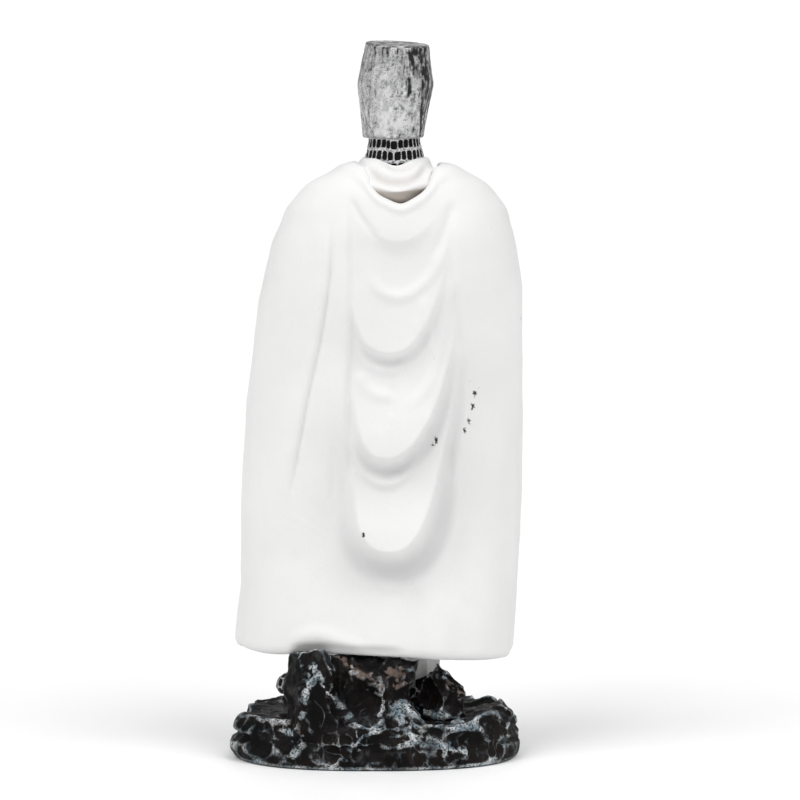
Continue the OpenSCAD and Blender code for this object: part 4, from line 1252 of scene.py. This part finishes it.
def leg_piece(name, node, ankle, toe, heel, knee):
    """A leg and foot in mail, between places given as (x, y)."""
    lo, hi = box_mm(node)
    top = hi[2]
    shin_a = np.array([*ankle, 11])
    shin_b = np.array([*(np.array(knee) + (np.array(ankle) - knee) * 0.1), top])
    ground = GROUND_H - 0.5
    sole = np.array([*toe, ground + 1.15])
    back = np.array([*heel, ground + 1.35])
    joint = np.array([*ankle, 10.2])

    def field(p):
        lower = bone(p, shin_a, shin_a * 0.5 + shin_b * 0.5, 1.8, 2.2)
        upper = bone(p, shin_a * 0.5 + shin_b * 0.5, shin_b + [0, 0, 3], 2.2, 2.2)
        calf = ball(p, shin_a * 0.45 + shin_b * 0.55 + [0, 0.9, 0], [1.9, 1.9, 5])
        instep = bone(p, joint, sole * 0.55 + joint * 0.45, 1.95, 1.75)
        front = bone(p, sole * 0.5 + joint * 0.5 - [0, 0, 0.6], sole, 1.75, 1.45)
        tip = bone(p, sole, sole + unit(sole - back) * 1.3 - [0, 0, 0.35], 1.35, 0.75)
        foot = bone(p, back, sole, 1.6, 1.5)
        d = smooth_min(smooth_min(lower, upper, 1.0), calf, 1.2)
        for part in (instep, front, foot, tip):
            d = smooth_min(d, part, 0.9)
        return np.maximum(np.maximum(d, ground - p[:, 2]), p[:, 2] - top)

    reach = np.array([3.2, 3.2, 0])
    lo = np.minimum(lo, sole - reach) - [0.4, 0.4, 0.6]
    hi = np.maximum(hi, sole + reach) + [0.4, 0.4, 0]
    points, faces = skin(field, [lo[0], lo[1], ground - 0.3], hi, 0.16)
    points = relax(points, faces, 2)
    n = normals_of(points, faces)
    axis = shin_a + (shin_b - shin_a) * ((points[:, 2:3] - shin_a[2]) / (shin_b[2] - shin_a[2]))
    turn = np.arctan2(points[:, 1] - axis[:, 1], points[:, 0] - axis[:, 0])
    shin = links(points[:, 2], turn * 2.55, 1.0, 2.55 * 2 * math.pi / 18)
    along = unit(sole - back)
    s = (points - back) @ along
    across = np.cross(along, [0, 0, 1])
    round_it = np.arctan2(points[:, 2] - ground, (points - back) @ across)
    shoe = links(s, round_it * 1.9, 1.0, 0.82)
    share = smoothstep(10.2, 11.2, points[:, 2])
    rib = shin * share + shoe * (1 - share)
    plain = smoothstep(ground + 0.9, ground + 0.55, points[:, 2])
    plain = plain + smoothstep(top - 0.2, top, points[:, 2])
    rib = rib * np.clip(1 - plain, 0, 1)
    points = points + n * (0.12 * rib)[:, None]
    piece(name, points, faces, mail, "mail_paint", [node], rib, 1 - rib)


leg_piece("leg_left", "left_leg", (4.2, -1.8), (12.6, -9.9), (3.8, -1), (2.6, -2.4))
leg_piece("leg_right", "right_leg", (-5.8, -2), (-9.2, -12.6), (-5.4, -0.9), (-5.7, -2.4))


# ---- Skirts ----

# The skirt by height: the middle's x and y, then the half width and the half depth
SKIRT_ROWS = [[11.2, -0.9, -1.6, 7.9, 6.4], [20, -1.1, -1.5, 7.9, 6.4], [32, -1.7, -1.1, 7.8, 6.2],
              [44, -2.3, -0.6, 7.4, 5.7], [52, -2.6, -0.2, 6.8, 5.1], [57.6, -2.6, 0, 6.3, 4.7]]
skirt_x, skirt_y, skirt_rx, skirt_ry = outlines(SKIRT_ROWS, 1.5)
SKIRT_T = 0.75
SLIT_X = BODY_X + 0.6


def surcoat_skirt_piece():
    """The pleated skirt of the surcoat, slit up the front."""
    rows, columns = 116, 230
    z = np.linspace(SKIRT_LO[2] + 0.15, SKIRT_HI[2] - 0.35, rows)[:, None]
    half = np.interp(z, [10, 43, 60], [3.2, 0.28, 0.02])
    cx, cy, rx, ry = skirt_x(z), skirt_y(z), skirt_rx(z), skirt_ry(z)
    start = -math.pi / 2 + np.arcsin(np.clip((SLIT_X + half - cx) / rx, -1, 1))
    stop = 1.5 * math.pi + np.arcsin(np.clip((SLIT_X - half - cx) / rx, -1, 1))
    a = start + (stop - start) * np.linspace(0, 1, columns)[None]
    deep = smoothstep(57, 20, z)
    pleat = np.sin(11 * a + 0.5 + 0.6 * np.sin(2 * a)) * 0.42 + np.sin(23 * a + 1.3) * 0.12
    pleat = np.sign(pleat) * np.abs(pleat) ** 0.85
    gather = 0.22 * np.sin(26 * a) * smoothstep(46, 57, z)
    grow = pleat * deep - 0.25 * deep + gather
    grow = grow + 0.12 * value_noise(joined(a * 6, z, 0), 5, 81)
    edge_roll = 0.22 * (smoothstep(0.04, 0, a - start) + smoothstep(0.04, 0, stop - a))
    hem_z = z - 0.35 * np.cos(11 * a + 0.5) * smoothstep(16, 11, z) + 0 * a

    def face(more):
        return joined(cx + (rx + grow + more) * np.cos(a), cy + (ry + grow + more) * np.sin(a), hem_z)

    points, faces = sheet_mesh(face(edge_roll), face(-SKIRT_T))
    # Painted highlight on the pleats' crests and painted shade in their troughs
    piece("surcoat_cloth", points, faces, white, "white_paint", ["surcoat_skirt"],
          spread_over(points, pleat * deep), spread_over(points, -pleat * deep * 1.3))


surcoat_skirt_piece()


def mail_skirt_piece():
    """The mail hauberk's skirt inside the surcoat, with a scalloped hem."""
    columns, pitch = 220, 1.05
    lo, hi = box_mm("mail_skirt")
    z = np.linspace(lo[2] + 0.1, hi[2] - 0.4, 170)[:, None]
    a = turns(columns)[None]
    rx, ry = skirt_rx(z) - SKIRT_T - 1.15, skirt_ry(z) - SKIRT_T - 1.15
    rib = links(z, a * 7, pitch, 7 * 2 * math.pi / 44)
    scallop = 0.3 * np.cos(44 * a) * smoothstep(lo[2] + 1.2, lo[2], z)
    lift = 0.12 * rib
    rings = joined(skirt_x(z) + (rx + lift) * np.cos(a), skirt_y(z) + (ry + lift) * np.sin(a), z + scallop)
    solid("mail_hauberk", rings, mail, "mail_paint", ["mail_skirt"], rib, 1 - rib)


mail_skirt_piece()


# ---- Torso ----

# The torso by height: its half width and half depth
TORSO_ROWS = [[57.6, 6.3, 4.7], [58.6, 6.3, 4.7], [65, 7.3, 5], [71, 8.4, 5.3], [76, 9, 4.9],
              [79.4, 8, 4.2], [81.6, 4.6, 3.6]]


def torso_piece():
    """The surcoat above the belt, gathered at the waist and dragged into creases on the chest."""
    rows, columns = 110, 220
    rx_of, ry_of = outlines(TORSO_ROWS, 0.7)
    z = np.linspace(WAIST_H + 0.1, 81.5, rows)[:, None]
    a = turns(columns)[None]
    cinch = bell(z - WAIST_H - 3.5, 4) * smoothstep(WAIST_H + 0.9, WAIST_H + 2.2, z)
    cinch = cinch * (0.28 * np.sin(19 * a + 0.4 * z) + 0.14 * np.sin(31 * a - 0.3 * z))
    front = np.maximum(-np.sin(a), 0)
    drag = 0.24 * np.sin(1.15 * z + 5.5 * np.abs(np.cos(a))) * front
    drag = drag * smoothstep(80, 76, z) * smoothstep(60, 66, z)
    blouse = 0.35 * bell(z - WAIST_H - 3.2, 2.4)
    blouse = blouse * smoothstep(WAIST_H + 0.8, WAIST_H + 1.8, z)
    low = 0.10 * smoothstep(WAIST_H + 0.9, WAIST_H + 2, z)
    low = low * value_noise(joined(7 * np.cos(a), 7 * np.sin(a), z), 3.2, 91)
    grow = cinch + drag + blouse + low
    x, y = oval(a, rx_of(z) + grow, ry_of(z) + grow, 2.2)
    rings = joined(BODY_X + x, y + 0.1 * smoothstep(76, 81, z), z)
    # Painted highlight on the folds' crests and painted shade in their hollows
    folds = np.clip(grow - blouse, -0.5, 0.5)
    solid("surcoat_chest", rings, white, "white_paint", ["surcoat_torso"], folds * 2, -folds * 2.2)


torso_piece()


# ---- Belt, buckle and strap end ----

def stitched_band(centre_z, half_h, rx, ry, thick, columns=420):
    """A belt standing on edge: a rounded strip round an oval, with a line of stitches along each edge."""
    a = turns(columns)
    section = []
    for t in turns(40):
        c, s = math.cos(t), math.sin(t)
        section.append((thick / 2 * signed_power(c, 0.5), half_h * signed_power(s, 0.35)))
    section = np.array(section)
    out = np.zeros((columns, len(section), 3))
    raised, hollow = np.zeros((columns, len(section))), np.zeros((columns, len(section)))
    for k, (dr, dz) in enumerate(section):
        line = bell(abs(dz) - half_h * 0.68, 0.10) * (dr > 0)
        stitch = line * smoothstep(-0.3, 0.3, np.sin(84 * a))
        grow = dr + 0.07 * stitch - 0.05 * line + thick / 2
        out[:, k] = joined(BODY_X + (rx + grow) * np.cos(a), (ry + grow) * np.sin(a), centre_z + dz)
        raised[:, k] = stitch + 0.7 * smoothstep(0.86, 0.98, abs(dz) / half_h)
        hollow[:, k] = line - stitch
    faces = loop_faces(columns, len(section))[:, [0, 3, 2, 1]]
    return out.reshape(-1, 3), faces, raised.ravel(), hollow.ravel()


belt_lo, belt_hi = box_mm("belt")
points, faces, raised, hollow = stitched_band(WAIST_H, (belt_hi[2] - belt_lo[2]) / 2, 6.32, 4.72, 0.5)
piece("belt_strap", points, faces, leather, "leather_paint", ["belt"], raised, hollow)


def gilt_casting(name, node, field, voxel, times, depth):
    """Skins a field over a node's box as a small gilt piece."""
    lo, hi = box_mm(node)
    points, faces = skin(field, lo - 0.3, hi + 0.3, voxel)
    points = relax(points, faces, 1)
    piece(name, points, faces, gilt, "gilt_paint", [node], *relief_of(points, faces, times, depth))


def buckle_field(lo, hi):
    """A rounded square frame with a bar and a prong."""
    centre = (lo + hi) / 2
    half = (hi - lo) / 2

    def field(p):
        q = p - centre
        box = np.stack([np.abs(q[:, 0]) - (half[0] - 0.38), np.abs(q[:, 2]) - (half[2] - 0.38)], 1)
        outer = np.hypot(np.maximum(box[:, 0], 0), np.maximum(box[:, 1], 0)) + np.minimum(box.max(1), 0)
        frame_d = np.hypot(outer, q[:, 1]) - 0.33
        prong = bone(q, (-half[0] + 0.35, -0.12, 0), (half[0] - 0.2, -0.28, 0.05), 0.17, 0.14)
        bar_x, bar_h = -half[0] + 0.4, half[2] - 0.4
        bar = bone(q, (bar_x, 0, -bar_h), (bar_x, 0, bar_h), 0.3, 0.3)
        return smooth_min(np.minimum(frame_d, prong), bar, 0.06)

    return field


gilt_casting("buckle_frame", "belt_buckle", buckle_field(*box_mm("belt_buckle")), 0.055, 10, 0.03)


def strap_end():
    """The loose end of the belt: it hangs down the front of the skirt and ends in a point."""
    lo, hi = box_mm("belt_tail")
    rows, columns, thick = 150, 26, 0.42
    z = np.linspace(lo[2] + 0.1, hi[2] - 0.1, rows)[:, None]
    half = (hi[0] - lo[0]) / 2 - 0.04
    u = np.linspace(-1, 1, columns)[None]
    point = np.clip((z - lo[2]) / 1.4, 0, 1) ** 0.6
    x = (lo[0] + hi[0]) / 2 + u * half * np.maximum(point, 0.12) + 0.10 * np.sin(0.55 * z)
    bulge = np.sqrt(np.clip(1 - ((x - skirt_x(z)) / skirt_rx(z)) ** 2, 0.1, 1))
    back = skirt_y(z) - skirt_ry(z) * bulge - thick
    y = np.minimum(back, -5.55) - 0.1 - 0.05 * np.cos(u * math.pi)
    line = bell(np.abs(u) - 0.72, 0.12)
    stitch = line * smoothstep(-0.3, 0.3, np.sin(9 * z))
    holes = sum(bell(np.hypot(u * half, z - (lo[2] + 3 + 1.5 * k)), 0.16) for k in range(5))
    outer = joined(x, y - 0.05 * stitch + 0.03 * line + 0.22 * holes, z)
    points, faces = sheet_mesh(outer, joined(x, y + thick, z))
    piece("belt_end", points, faces, leather, "leather_paint", ["belt_tail"],
          spread_over(points, stitch + 0.6 * smoothstep(0.9, 1, np.abs(u))),
          spread_over(points, line - stitch + holes))


strap_end()


# ---- Scabbard ----

SCABBARD_MOUTH, SCABBARD_TIP = np.array([5.5, -2.2, 56.7]), np.array([11.7, 1.4, 16.4])
SCABBARD_TURN = math.radians(65)


def scabbard_rings(from_t, to_t, rows, columns, grow):
    """Rings down the scabbard between two shares of its length; grow(t, angle) adds to its outline."""
    a = turns(columns)
    rings = []
    for t in np.linspace(to_t, from_t, rows):
        c = SCABBARD_MOUTH + (SCABBARD_TIP - SCABBARD_MOUTH) * t
        taper = np.sqrt(np.clip((1.004 - t) / 0.02, 0.05, 1))
        g = grow(t, a)
        x = ((1.25 - 0.35 * t) * taper + g) * signed_power(np.cos(a), 0.9)
        y = ((0.62 - 0.10 * t) * taper + g) * signed_power(np.sin(a), 0.9)
        rings.append(joined(c[0] + x * math.cos(SCABBARD_TURN) - y * math.sin(SCABBARD_TURN),
                            c[1] + x * math.sin(SCABBARD_TURN) + y * math.cos(SCABBARD_TURN), c[2]))
    return rings


def seam_at(a, width):
    return bell(np.sin(a - math.pi / 2) - 1, width)


def scabbard_outline(t, a):
    """The throat at the mouth, the chape at the tip, and between them a sewn seam and a spine."""
    throat = 0.16 * smoothstep(0.026, 0.022, t) + 0.05 * bell(t - 0.028, 0.003)
    chape = 0.14 * smoothstep(0.925, 0.930, t) + 0.06 * bell(t - 0.932, 0.004)
    chape = chape + 0.06 * bell(t - 0.965, 0.004)
    seam = -0.06 * seam_at(a, 0.02)
    spine = 0.07 * seam_at(a + math.pi, 0.05)
    return throat + chape + (seam + spine) * smoothstep(0.03, 0.05, t) * smoothstep(0.92, 0.90, t)


def scabbard_piece():
    rows, columns = 260, 72
    t = np.linspace(1, 0, rows)[:, None]
    turn = turns(columns)[None]
    edges = bell(t - 0.025, 0.003) + bell(t - 0.931, 0.004) + bell(t - 0.965, 0.004)
    grooves = bell(t - 0.032, 0.003) + bell(t - 0.924, 0.003)
    solid("scabbard_body", scabbard_rings(0, 1, rows, columns, scabbard_outline), leather, "leather_paint",
          ["scabbard"], edges + 0.5 * seam_at(turn + math.pi, 0.05), grooves + 0.8 * seam_at(turn, 0.02))


scabbard_piece()


def strap_pieces():
    """Two gilt bands round the scabbard, with beaded edges."""
    rows, columns = 40, 96
    a = turns(columns)
    blank = np.zeros(columns)
    all_points, all_faces, raised, hollow = [], [], [], []
    for t0 in (0.05, 0.17):
        t1 = t0 + 0.045
        outer = scabbard_rings(t0, t1, rows, columns, lambda t, a: 0.24 + 0.09 * (
            bell(t - t0 - 0.005, 0.004) + bell(t - t1 + 0.005, 0.004)) * (0.6 + 0.4 * np.sin(18 * a)))
        inner = scabbard_rings(t0, t1, rows, columns, lambda t, a: 0.02)
        stack = [inner[0]] + outer + inner[::-1]
        start = len(all_points) * len(stack) * columns
        all_faces.append(grid_faces(len(stack), columns, wrap=True, start=start))
        all_points.append(np.vstack(stack))
        t = np.linspace(t1, t0, rows)[:, None]
        bead = (bell(t - t0 - 0.005, 0.005) + bell(t - t1 + 0.005, 0.005)) + 0 * a
        dark = np.clip(1 - 2 * bead, 0, 1) * (0.35 + 0.3 * np.sin(6 * a) ** 2)
        raised += [blank] + list(bead) + [blank] * rows
        hollow += [blank] + list(dark) + [blank] * rows
    piece("scabbard_bands", np.vstack(all_points), np.vstack(all_faces), gilt, "gilt_paint",
          ["scabbard_straps"], np.concatenate(raised), np.concatenate(hollow))


strap_pieces()


# ---- Arms and hands ----

# Where the joints of the arm on one side are
def shoulder(side):
    return np.array([BODY_X + side * 10, 0, 76.2])


def elbow(side):
    return np.array([BODY_X + side * 14.1, 1, 62.8])


def wrist(side):
    return np.array([BODY_X + side * 4.5, -9.6, 61.6])


def palm(side):
    return np.array([BODY_X - side * 0.5, -12.9, 63.4 if side > 0 else 61.9])


def arm_piece(name, node, side):
    """An arm in mail from the shoulder over the bent elbow to a plain cuff."""
    a, b, c = shoulder(side), elbow(side), wrist(side)
    way = through([a + [-side * 1.5, 0, 1.2], a, a * 0.45 + b * 0.55 + [side * 0.5, 0.3, 0],
                   b + [-side * 0.2, -0.1, 0.5], b * 0.5 + c * 0.5 + [side * 0.35, -0.2, -0.2], c], 190)
    run = np.concatenate([[0], np.cumsum(np.linalg.norm(np.diff(way, axis=0), axis=1))])
    share = run / run[-1]
    radius = np.interp(share, [0, 0.12, 0.38, 0.52, 0.66, 0.92, 1], [1.9, 2.95, 2.75, 2.6, 2.45, 1.8, 1.7])
    radius = np.convolve(np.pad(radius, 6, "edge"), np.ones(13) / 13, "valid")
    columns = 112
    turn = turns(columns)[None]
    rib = links(run[:, None], turn * 2.5, 1.0, 2.5 * 2 * math.pi / 17)
    crease = bell(share[:, None] - 0.52, 0.05) * (0.5 + 0.5 * np.cos(turn - math.pi / 2))
    ripples = 0.14 * np.sin(share[:, None] * 55) * bell(share[:, None] - 0.52, 0.12)
    cuff = smoothstep(0.955, 0.965, share)[:, None]
    lift = 0.12 * rib * (1 - cuff) - 0.25 * crease + ripples + 0.14 * cuff
    rings = tube(way, radius[:, None], columns, up=(side, 0.2, 0.1), lift=lift)
    solid(name, rings, mail, "mail_paint", [node], rib * (1 - cuff) + 0.7 * cuff, (1 - rib) * (1 - cuff),
          dome=0.8)


arm_piece("arm_left", "left_arm", LEFT)
arm_piece("arm_right", "right_arm", RIGHT)


def hand_piece(name, node, side):
    """A mailed glove laid over the pommel, fingers curled down over it."""
    w, p = wrist(side), palm(side)
    d = unit(p - w)
    across = unit(np.cross([0, 0, 1], d)) * -side
    back = p + [0, 0.6, 0.05]

    def field(q):
        cuff = bone(q, w + d * 0.5, w + d * 1.5, 1.55, 1.4)
        hand = ball(q, back, [1.9, 1.9, 0.95])
        mid = bone(q, w + d * 1.5, back, 1.25, 1.05)
        whole = smooth_min(smooth_min(cuff, hand, 0.6), mid, 0.6)
        for k in range(4):
            along = -1.15 + 0.78 * k
            root = back + [0, -0.6, 0.1] + [-side * along * 0.9, 0.12 * abs(k - 1.5), 0]
            knuckle = root + [-side * 0.15, -0.95, -0.05]
            tip = knuckle + [-side * 0.1, -0.35, -0.95 + 0.08 * k]
            finger = np.minimum(bone(q, root, knuckle, 0.42, 0.40), bone(q, knuckle, tip, 0.40, 0.33))
            whole = smooth_min(whole, finger, 0.10)
        thumb_root, thumb_tip = back + [side * 1.0, 0.3, -0.1], back + [side * 1.0, -1.6, -0.75]
        bend = back + [side * 1.55, -0.75, -0.45]
        thumb = smooth_min(bone(q, thumb_root, bend, 0.5, 0.44), bone(q, bend, thumb_tip, 0.42, 0.36), 0.1)
        return smooth_min(whole, thumb, 0.15)

    lo, hi = box_mm(node)
    points, faces = skin(field, lo - 1.2, hi + 1.2, 0.075)
    points = relax(points, faces, 2)
    up, down = relief_of(points, faces, 20, 0.05)
    n = normals_of(points, faces)
    rib = links((points - w) @ d, (points - w) @ across, 0.62, 0.56) * smoothstep(0.1, 0.5, n[:, 2])
    rib = rib * smoothstep(-0.6, 0.0, (points - back) @ -d + 0.5)
    points = points + n * (0.06 * rib)[:, None]
    piece(name, points, faces, mail, "mail_paint", [node], 0.8 * up + 0.6 * rib,
          down + 0.4 * (1 - rib) * smoothstep(0.1, 0.5, n[:, 2]))


hand_piece("glove_left", "left_hand", LEFT)
hand_piece("glove_right", "right_hand", RIGHT)


# ---- Sword ----

SWORD_Y = -13.0
blade_lo, blade_hi = box_mm("sword_blade")
hilt_lo, hilt_hi = box_mm("sword_hilt")


def blade_piece():
    """A tapering blade with a ground edge each side and a fuller down its upper half."""
    rows, columns = 220, 64
    z = blade_lo[2] + (blade_hi[2] - blade_lo[2]) * np.linspace(0, 1, rows)
    a = turns(columns)
    rings, raised, hollow = [], [], []
    for h in z:
        up = h - blade_lo[2]
        half = np.interp(up, [0, 3.2, blade_hi[2] - blade_lo[2]], [0.0, 0.78, 1.15])
        half = max(half * min(1, 0.3 + up / 1.2), 0.10)
        thick = np.interp(up, [0, 3.2, 43], [0.12, 0.28, 0.42])
        u = np.cos(a)
        body = thick * (1 - np.abs(u) ** 1.25)
        fuller = 0.20 * bell(u, 0.24) * float(smoothstep(12, 17, up))
        y = np.sign(np.sin(a)) * np.maximum(body - fuller, 0.01)
        nick = 0.03 * math.sin(7.1 * h) * math.sin(2.3 * h)
        rings.append(joined(BODY_X + u * (half + nick), SWORD_Y + y, h))
        raised.append(0.8 * smoothstep(0.82, 0.98, np.abs(u)) + 0.5 * bell(np.abs(u) - 0.42, 0.07))
        hollow.append(bell(u, 0.20) * float(smoothstep(12, 17, up)))
    solid("blade", rings, steel, "steel_paint", ["sword_blade"], np.array(raised), np.array(hollow))


blade_piece()


def hilt_field(p):
    """A flared guard with a block, a wrapped grip, a collar and a wheel pommel."""
    x, y, z = p[:, 0] - BODY_X, p[:, 1] - SWORD_Y, p[:, 2]
    guard_z = hilt_lo[2] + 0.5
    flare = 0.36 + 0.13 * smoothstep(2.2, 4.3, np.abs(x))
    droop = guard_z - 0.10 * (x / 4.4) ** 2
    bar = np.hypot(np.maximum(np.abs(y) - 0.12, 0), np.maximum(np.abs(z - droop) - 0.1, 0))
    guard = np.maximum(bar - flare + 0.1, np.abs(x) - 4.35)
    block = np.maximum(np.maximum(np.abs(x) - 0.95, np.abs(y) - 0.52), np.abs(z - guard_z) - 0.55)
    grip_top = hilt_hi[2] - 2.9
    turn = np.arctan2(y, x)
    swell = 0.58 + 0.10 * np.cos((z - (guard_z + grip_top) / 2) * 0.42)
    wrap = 0.07 * np.abs(np.sin(0.5 * turn + z * 3.6))
    grip = np.maximum(np.hypot(x, y) - swell - wrap, np.maximum(guard_z - z, z - grip_top - 0.2))
    centre_z = hilt_hi[2] - 1.75
    r = np.hypot(x, z - centre_z)
    face = 0.56 - 0.16 * smoothstep(0.95, 1.15, r) * smoothstep(1.55, 1.35, r)
    face = face + 0.10 * smoothstep(0.75, 0.3, r)
    pommel = smooth_max(r - 1.7, np.abs(y) - face, 0.10)
    collar = np.maximum(np.hypot(x, y) - 0.82, np.abs(z - grip_top) - 0.16)
    d = smooth_min(smooth_min(guard, block, 0.12), grip, 0.05)
    return smooth_min(smooth_min(d, collar, 0.05), pommel, 0.12)


gilt_casting("hilt", "sword_hilt", hilt_field, 0.075, 14, 0.04)


# ---- Cord and brooches ----

BROOCH_X, BROOCH_Z = 5.9, 78.2
brooch_lo, _ = box_mm("brooches")
cord_lo, _ = box_mm("cloak_cord")


def brooch_pieces():
    """Two round brooches: a beaded rim, a groove and a low boss with a star of petals."""
    columns, rows = 96, 46
    a = turns(columns)
    t = np.linspace(0, 1, rows)[:, None]
    r = 1.2 * (1 - t)
    height = 0.30 * bell(r - 1.0, 0.17) * (0.75 + 0.25 * np.cos(20 * a)) + 0.42 * bell(r, 0.55) \
        + 0.12 * np.cos(6 * a) * bell(r - 0.48, 0.2) - 0.12 * bell(r - 0.74, 0.09)
    points, faces, raised, hollow, total = [], [], [], [], 0
    for side in (LEFT, RIGHT):
        c = np.array([BODY_X + side * BROOCH_X, brooch_lo[1] + 0.45, BROOCH_Z])
        lean = side * 0.18
        across = r * np.cos(a)
        front = joined(c[0] + across, c[1] - height + lean * across * side, c[2] + r * np.sin(a))
        back = [joined(c[0] + k * np.cos(a), c[1] + y, c[2] + k * np.sin(a))
                for k, y in ((0.9, 1.1), (1.18, 1.05), (1.2, 0.5))]
        made, made_faces, first = closed_rings(back + list(front))
        full_up, full_down = np.zeros(len(made)), np.zeros(len(made))
        span = slice(first + 3 * columns, first + (3 + rows) * columns)
        full_up[span] = (height * 2.6).ravel()
        full_down[span] = (1 - height * 5).ravel()
        points.append(made)
        faces += [[v + total for v in f] for f in made_faces]
        raised.append(full_up)
        hollow.append(full_down)
        total += len(made)
    piece("brooch_pair", np.vstack(points), faces, gilt, "gilt_paint", ["brooches"],
          np.concatenate(raised), np.concatenate(hollow))


brooch_pieces()


def cord_piece():
    """A twisted cord in a shallow arc from brooch to brooch."""
    reach, sag = BROOCH_X - 0.4, BROOCH_Z - cord_lo[2] - 0.42
    s = np.linspace(-1, 1, 260)
    way = joined(BODY_X + reach * s, cord_lo[1] + 0.42 + 0.25 * s ** 2, BROOCH_Z - sag * (1 - s ** 2))
    columns = 36
    strand = np.abs(np.cos(1.5 * (turns(columns)[None] - s[:, None] * 26)))
    rings = tube(way, 0.38, columns, up=(0, 0, 1), lift=0.15 * strand - 0.12)
    solid("neck_cord", rings, gilt, "gilt_paint", ["cloak_cord"], smoothstep(0.6, 1, strand),
          smoothstep(0.45, 0.1, strand))


cord_piece()


# ---- CAD pieces that show as they are ----

def keep_cad(node, paint):
    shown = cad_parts[node]
    shown.data.materials.clear()
    shown.data.materials.append(paint.material)


for node in ("foot_pins", "leg_pins", "waist_pin", "shoulder_pins", "wrist_pins", "neck_pin", "cloak_pins"):
    keep_cad(node, brass)
keep_cad("base_weight", weight)
keep_cad("felt_pad", felt)


# ---- Stage ----

def stage_floor():
    """A pale floor that runs out to the horizon."""
    paint = Paint("floor_paint")
    paint.colour(paint.mix(paint.noise(0.004, 3), (0.955, 0.955, 0.955, 1), (0.975, 0.975, 0.975, 1)))
    paint.rough(paint.band(paint.noise(0.05, 3), 0.3, 0.7, 0.55, 0.7))
    radii, columns = (0.3, 1.5, 6, 30), 48
    rings = [[r * math.cos(a), r * math.sin(a), 0] for r in radii for a in turns(columns)]
    points = np.array(rings + [[0, 0, 0]])
    faces = [list(f) for f in grid_faces(len(radii), columns, wrap=True)[:, ::-1]]
    faces += [[len(rings), k, (k + 1) % columns] for k in range(columns)]
    mesh = bpy.data.meshes.new("floor")
    mesh.from_pydata(points.tolist(), [], [list(map(int, f)) for f in faces])
    mesh.materials.append(paint.material)
    floor = bpy.data.objects.new("floor", mesh)
    bpy.context.scene.collection.objects.link(floor)


stage_floor()


def sun(name, azimuth, elevation, strength, spread):
    """Light from a side of the object: azimuth 0 comes from -Y, 90 from +X, 180 from +Y."""
    data = bpy.data.lights.new(name, "SUN")
    data.energy, data.angle = strength, math.radians(spread)
    lamp = bpy.data.objects.new(name, data)
    a, e = math.radians(azimuth), math.radians(elevation)
    back = Vector((math.sin(a) * math.cos(e), -math.cos(a) * math.cos(e), math.sin(e)))
    lamp.rotation_mode = "QUATERNION"
    lamp.rotation_quaternion = (-back).to_track_quat("-Z", "Y")
    bpy.context.scene.collection.objects.link(lamp)


WORLD_STRENGTH = 0.36
KEY_TURN, KEY_ELEVATION, KEY_STRENGTH, KEY_SPREAD = 50, 52, 1.36, 40
LEFT_KEY_MORE = 0.08

scene = bpy.context.scene
world = bpy.data.worlds.new("studio")
world.use_nodes = True
world.node_tree.nodes["Background"].inputs["Color"].default_value = (1, 1, 1, 1)
world.node_tree.nodes["Background"].inputs["Strength"].default_value = WORLD_STRENGTH
scene.world = world
for side in (LEFT, RIGHT):
    sun("key", 180 - side * KEY_TURN, KEY_ELEVATION, KEY_STRENGTH + LEFT_KEY_MORE * side, KEY_SPREAD)
sun("front_fill", 0, 45, 0.4, 60)
scene.view_settings.view_transform = "Standard"

camera_data = bpy.data.cameras.new("camera")
camera_data.lens, camera_data.sensor_width = 180, 36
camera = bpy.data.objects.new("camera", camera_data)
scene.collection.objects.link(camera)
scene.camera = camera
CAMERA_ELEVATION, CAMERA_DISTANCE = math.radians(6), 562.0
CAMERA_AIM = (-3.376, 0, 50.0)
aim = Vector(CAMERA_AIM) * MM
away = Vector((0, math.cos(CAMERA_ELEVATION), math.sin(CAMERA_ELEVATION)))
camera.location = aim + away * CAMERA_DISTANCE * MM
camera.rotation_mode = "QUATERNION"
camera.rotation_quaternion = (-away).to_track_quat("-Z", "Y")
camera_data.clip_start, camera_data.clip_end = 0.01, 60
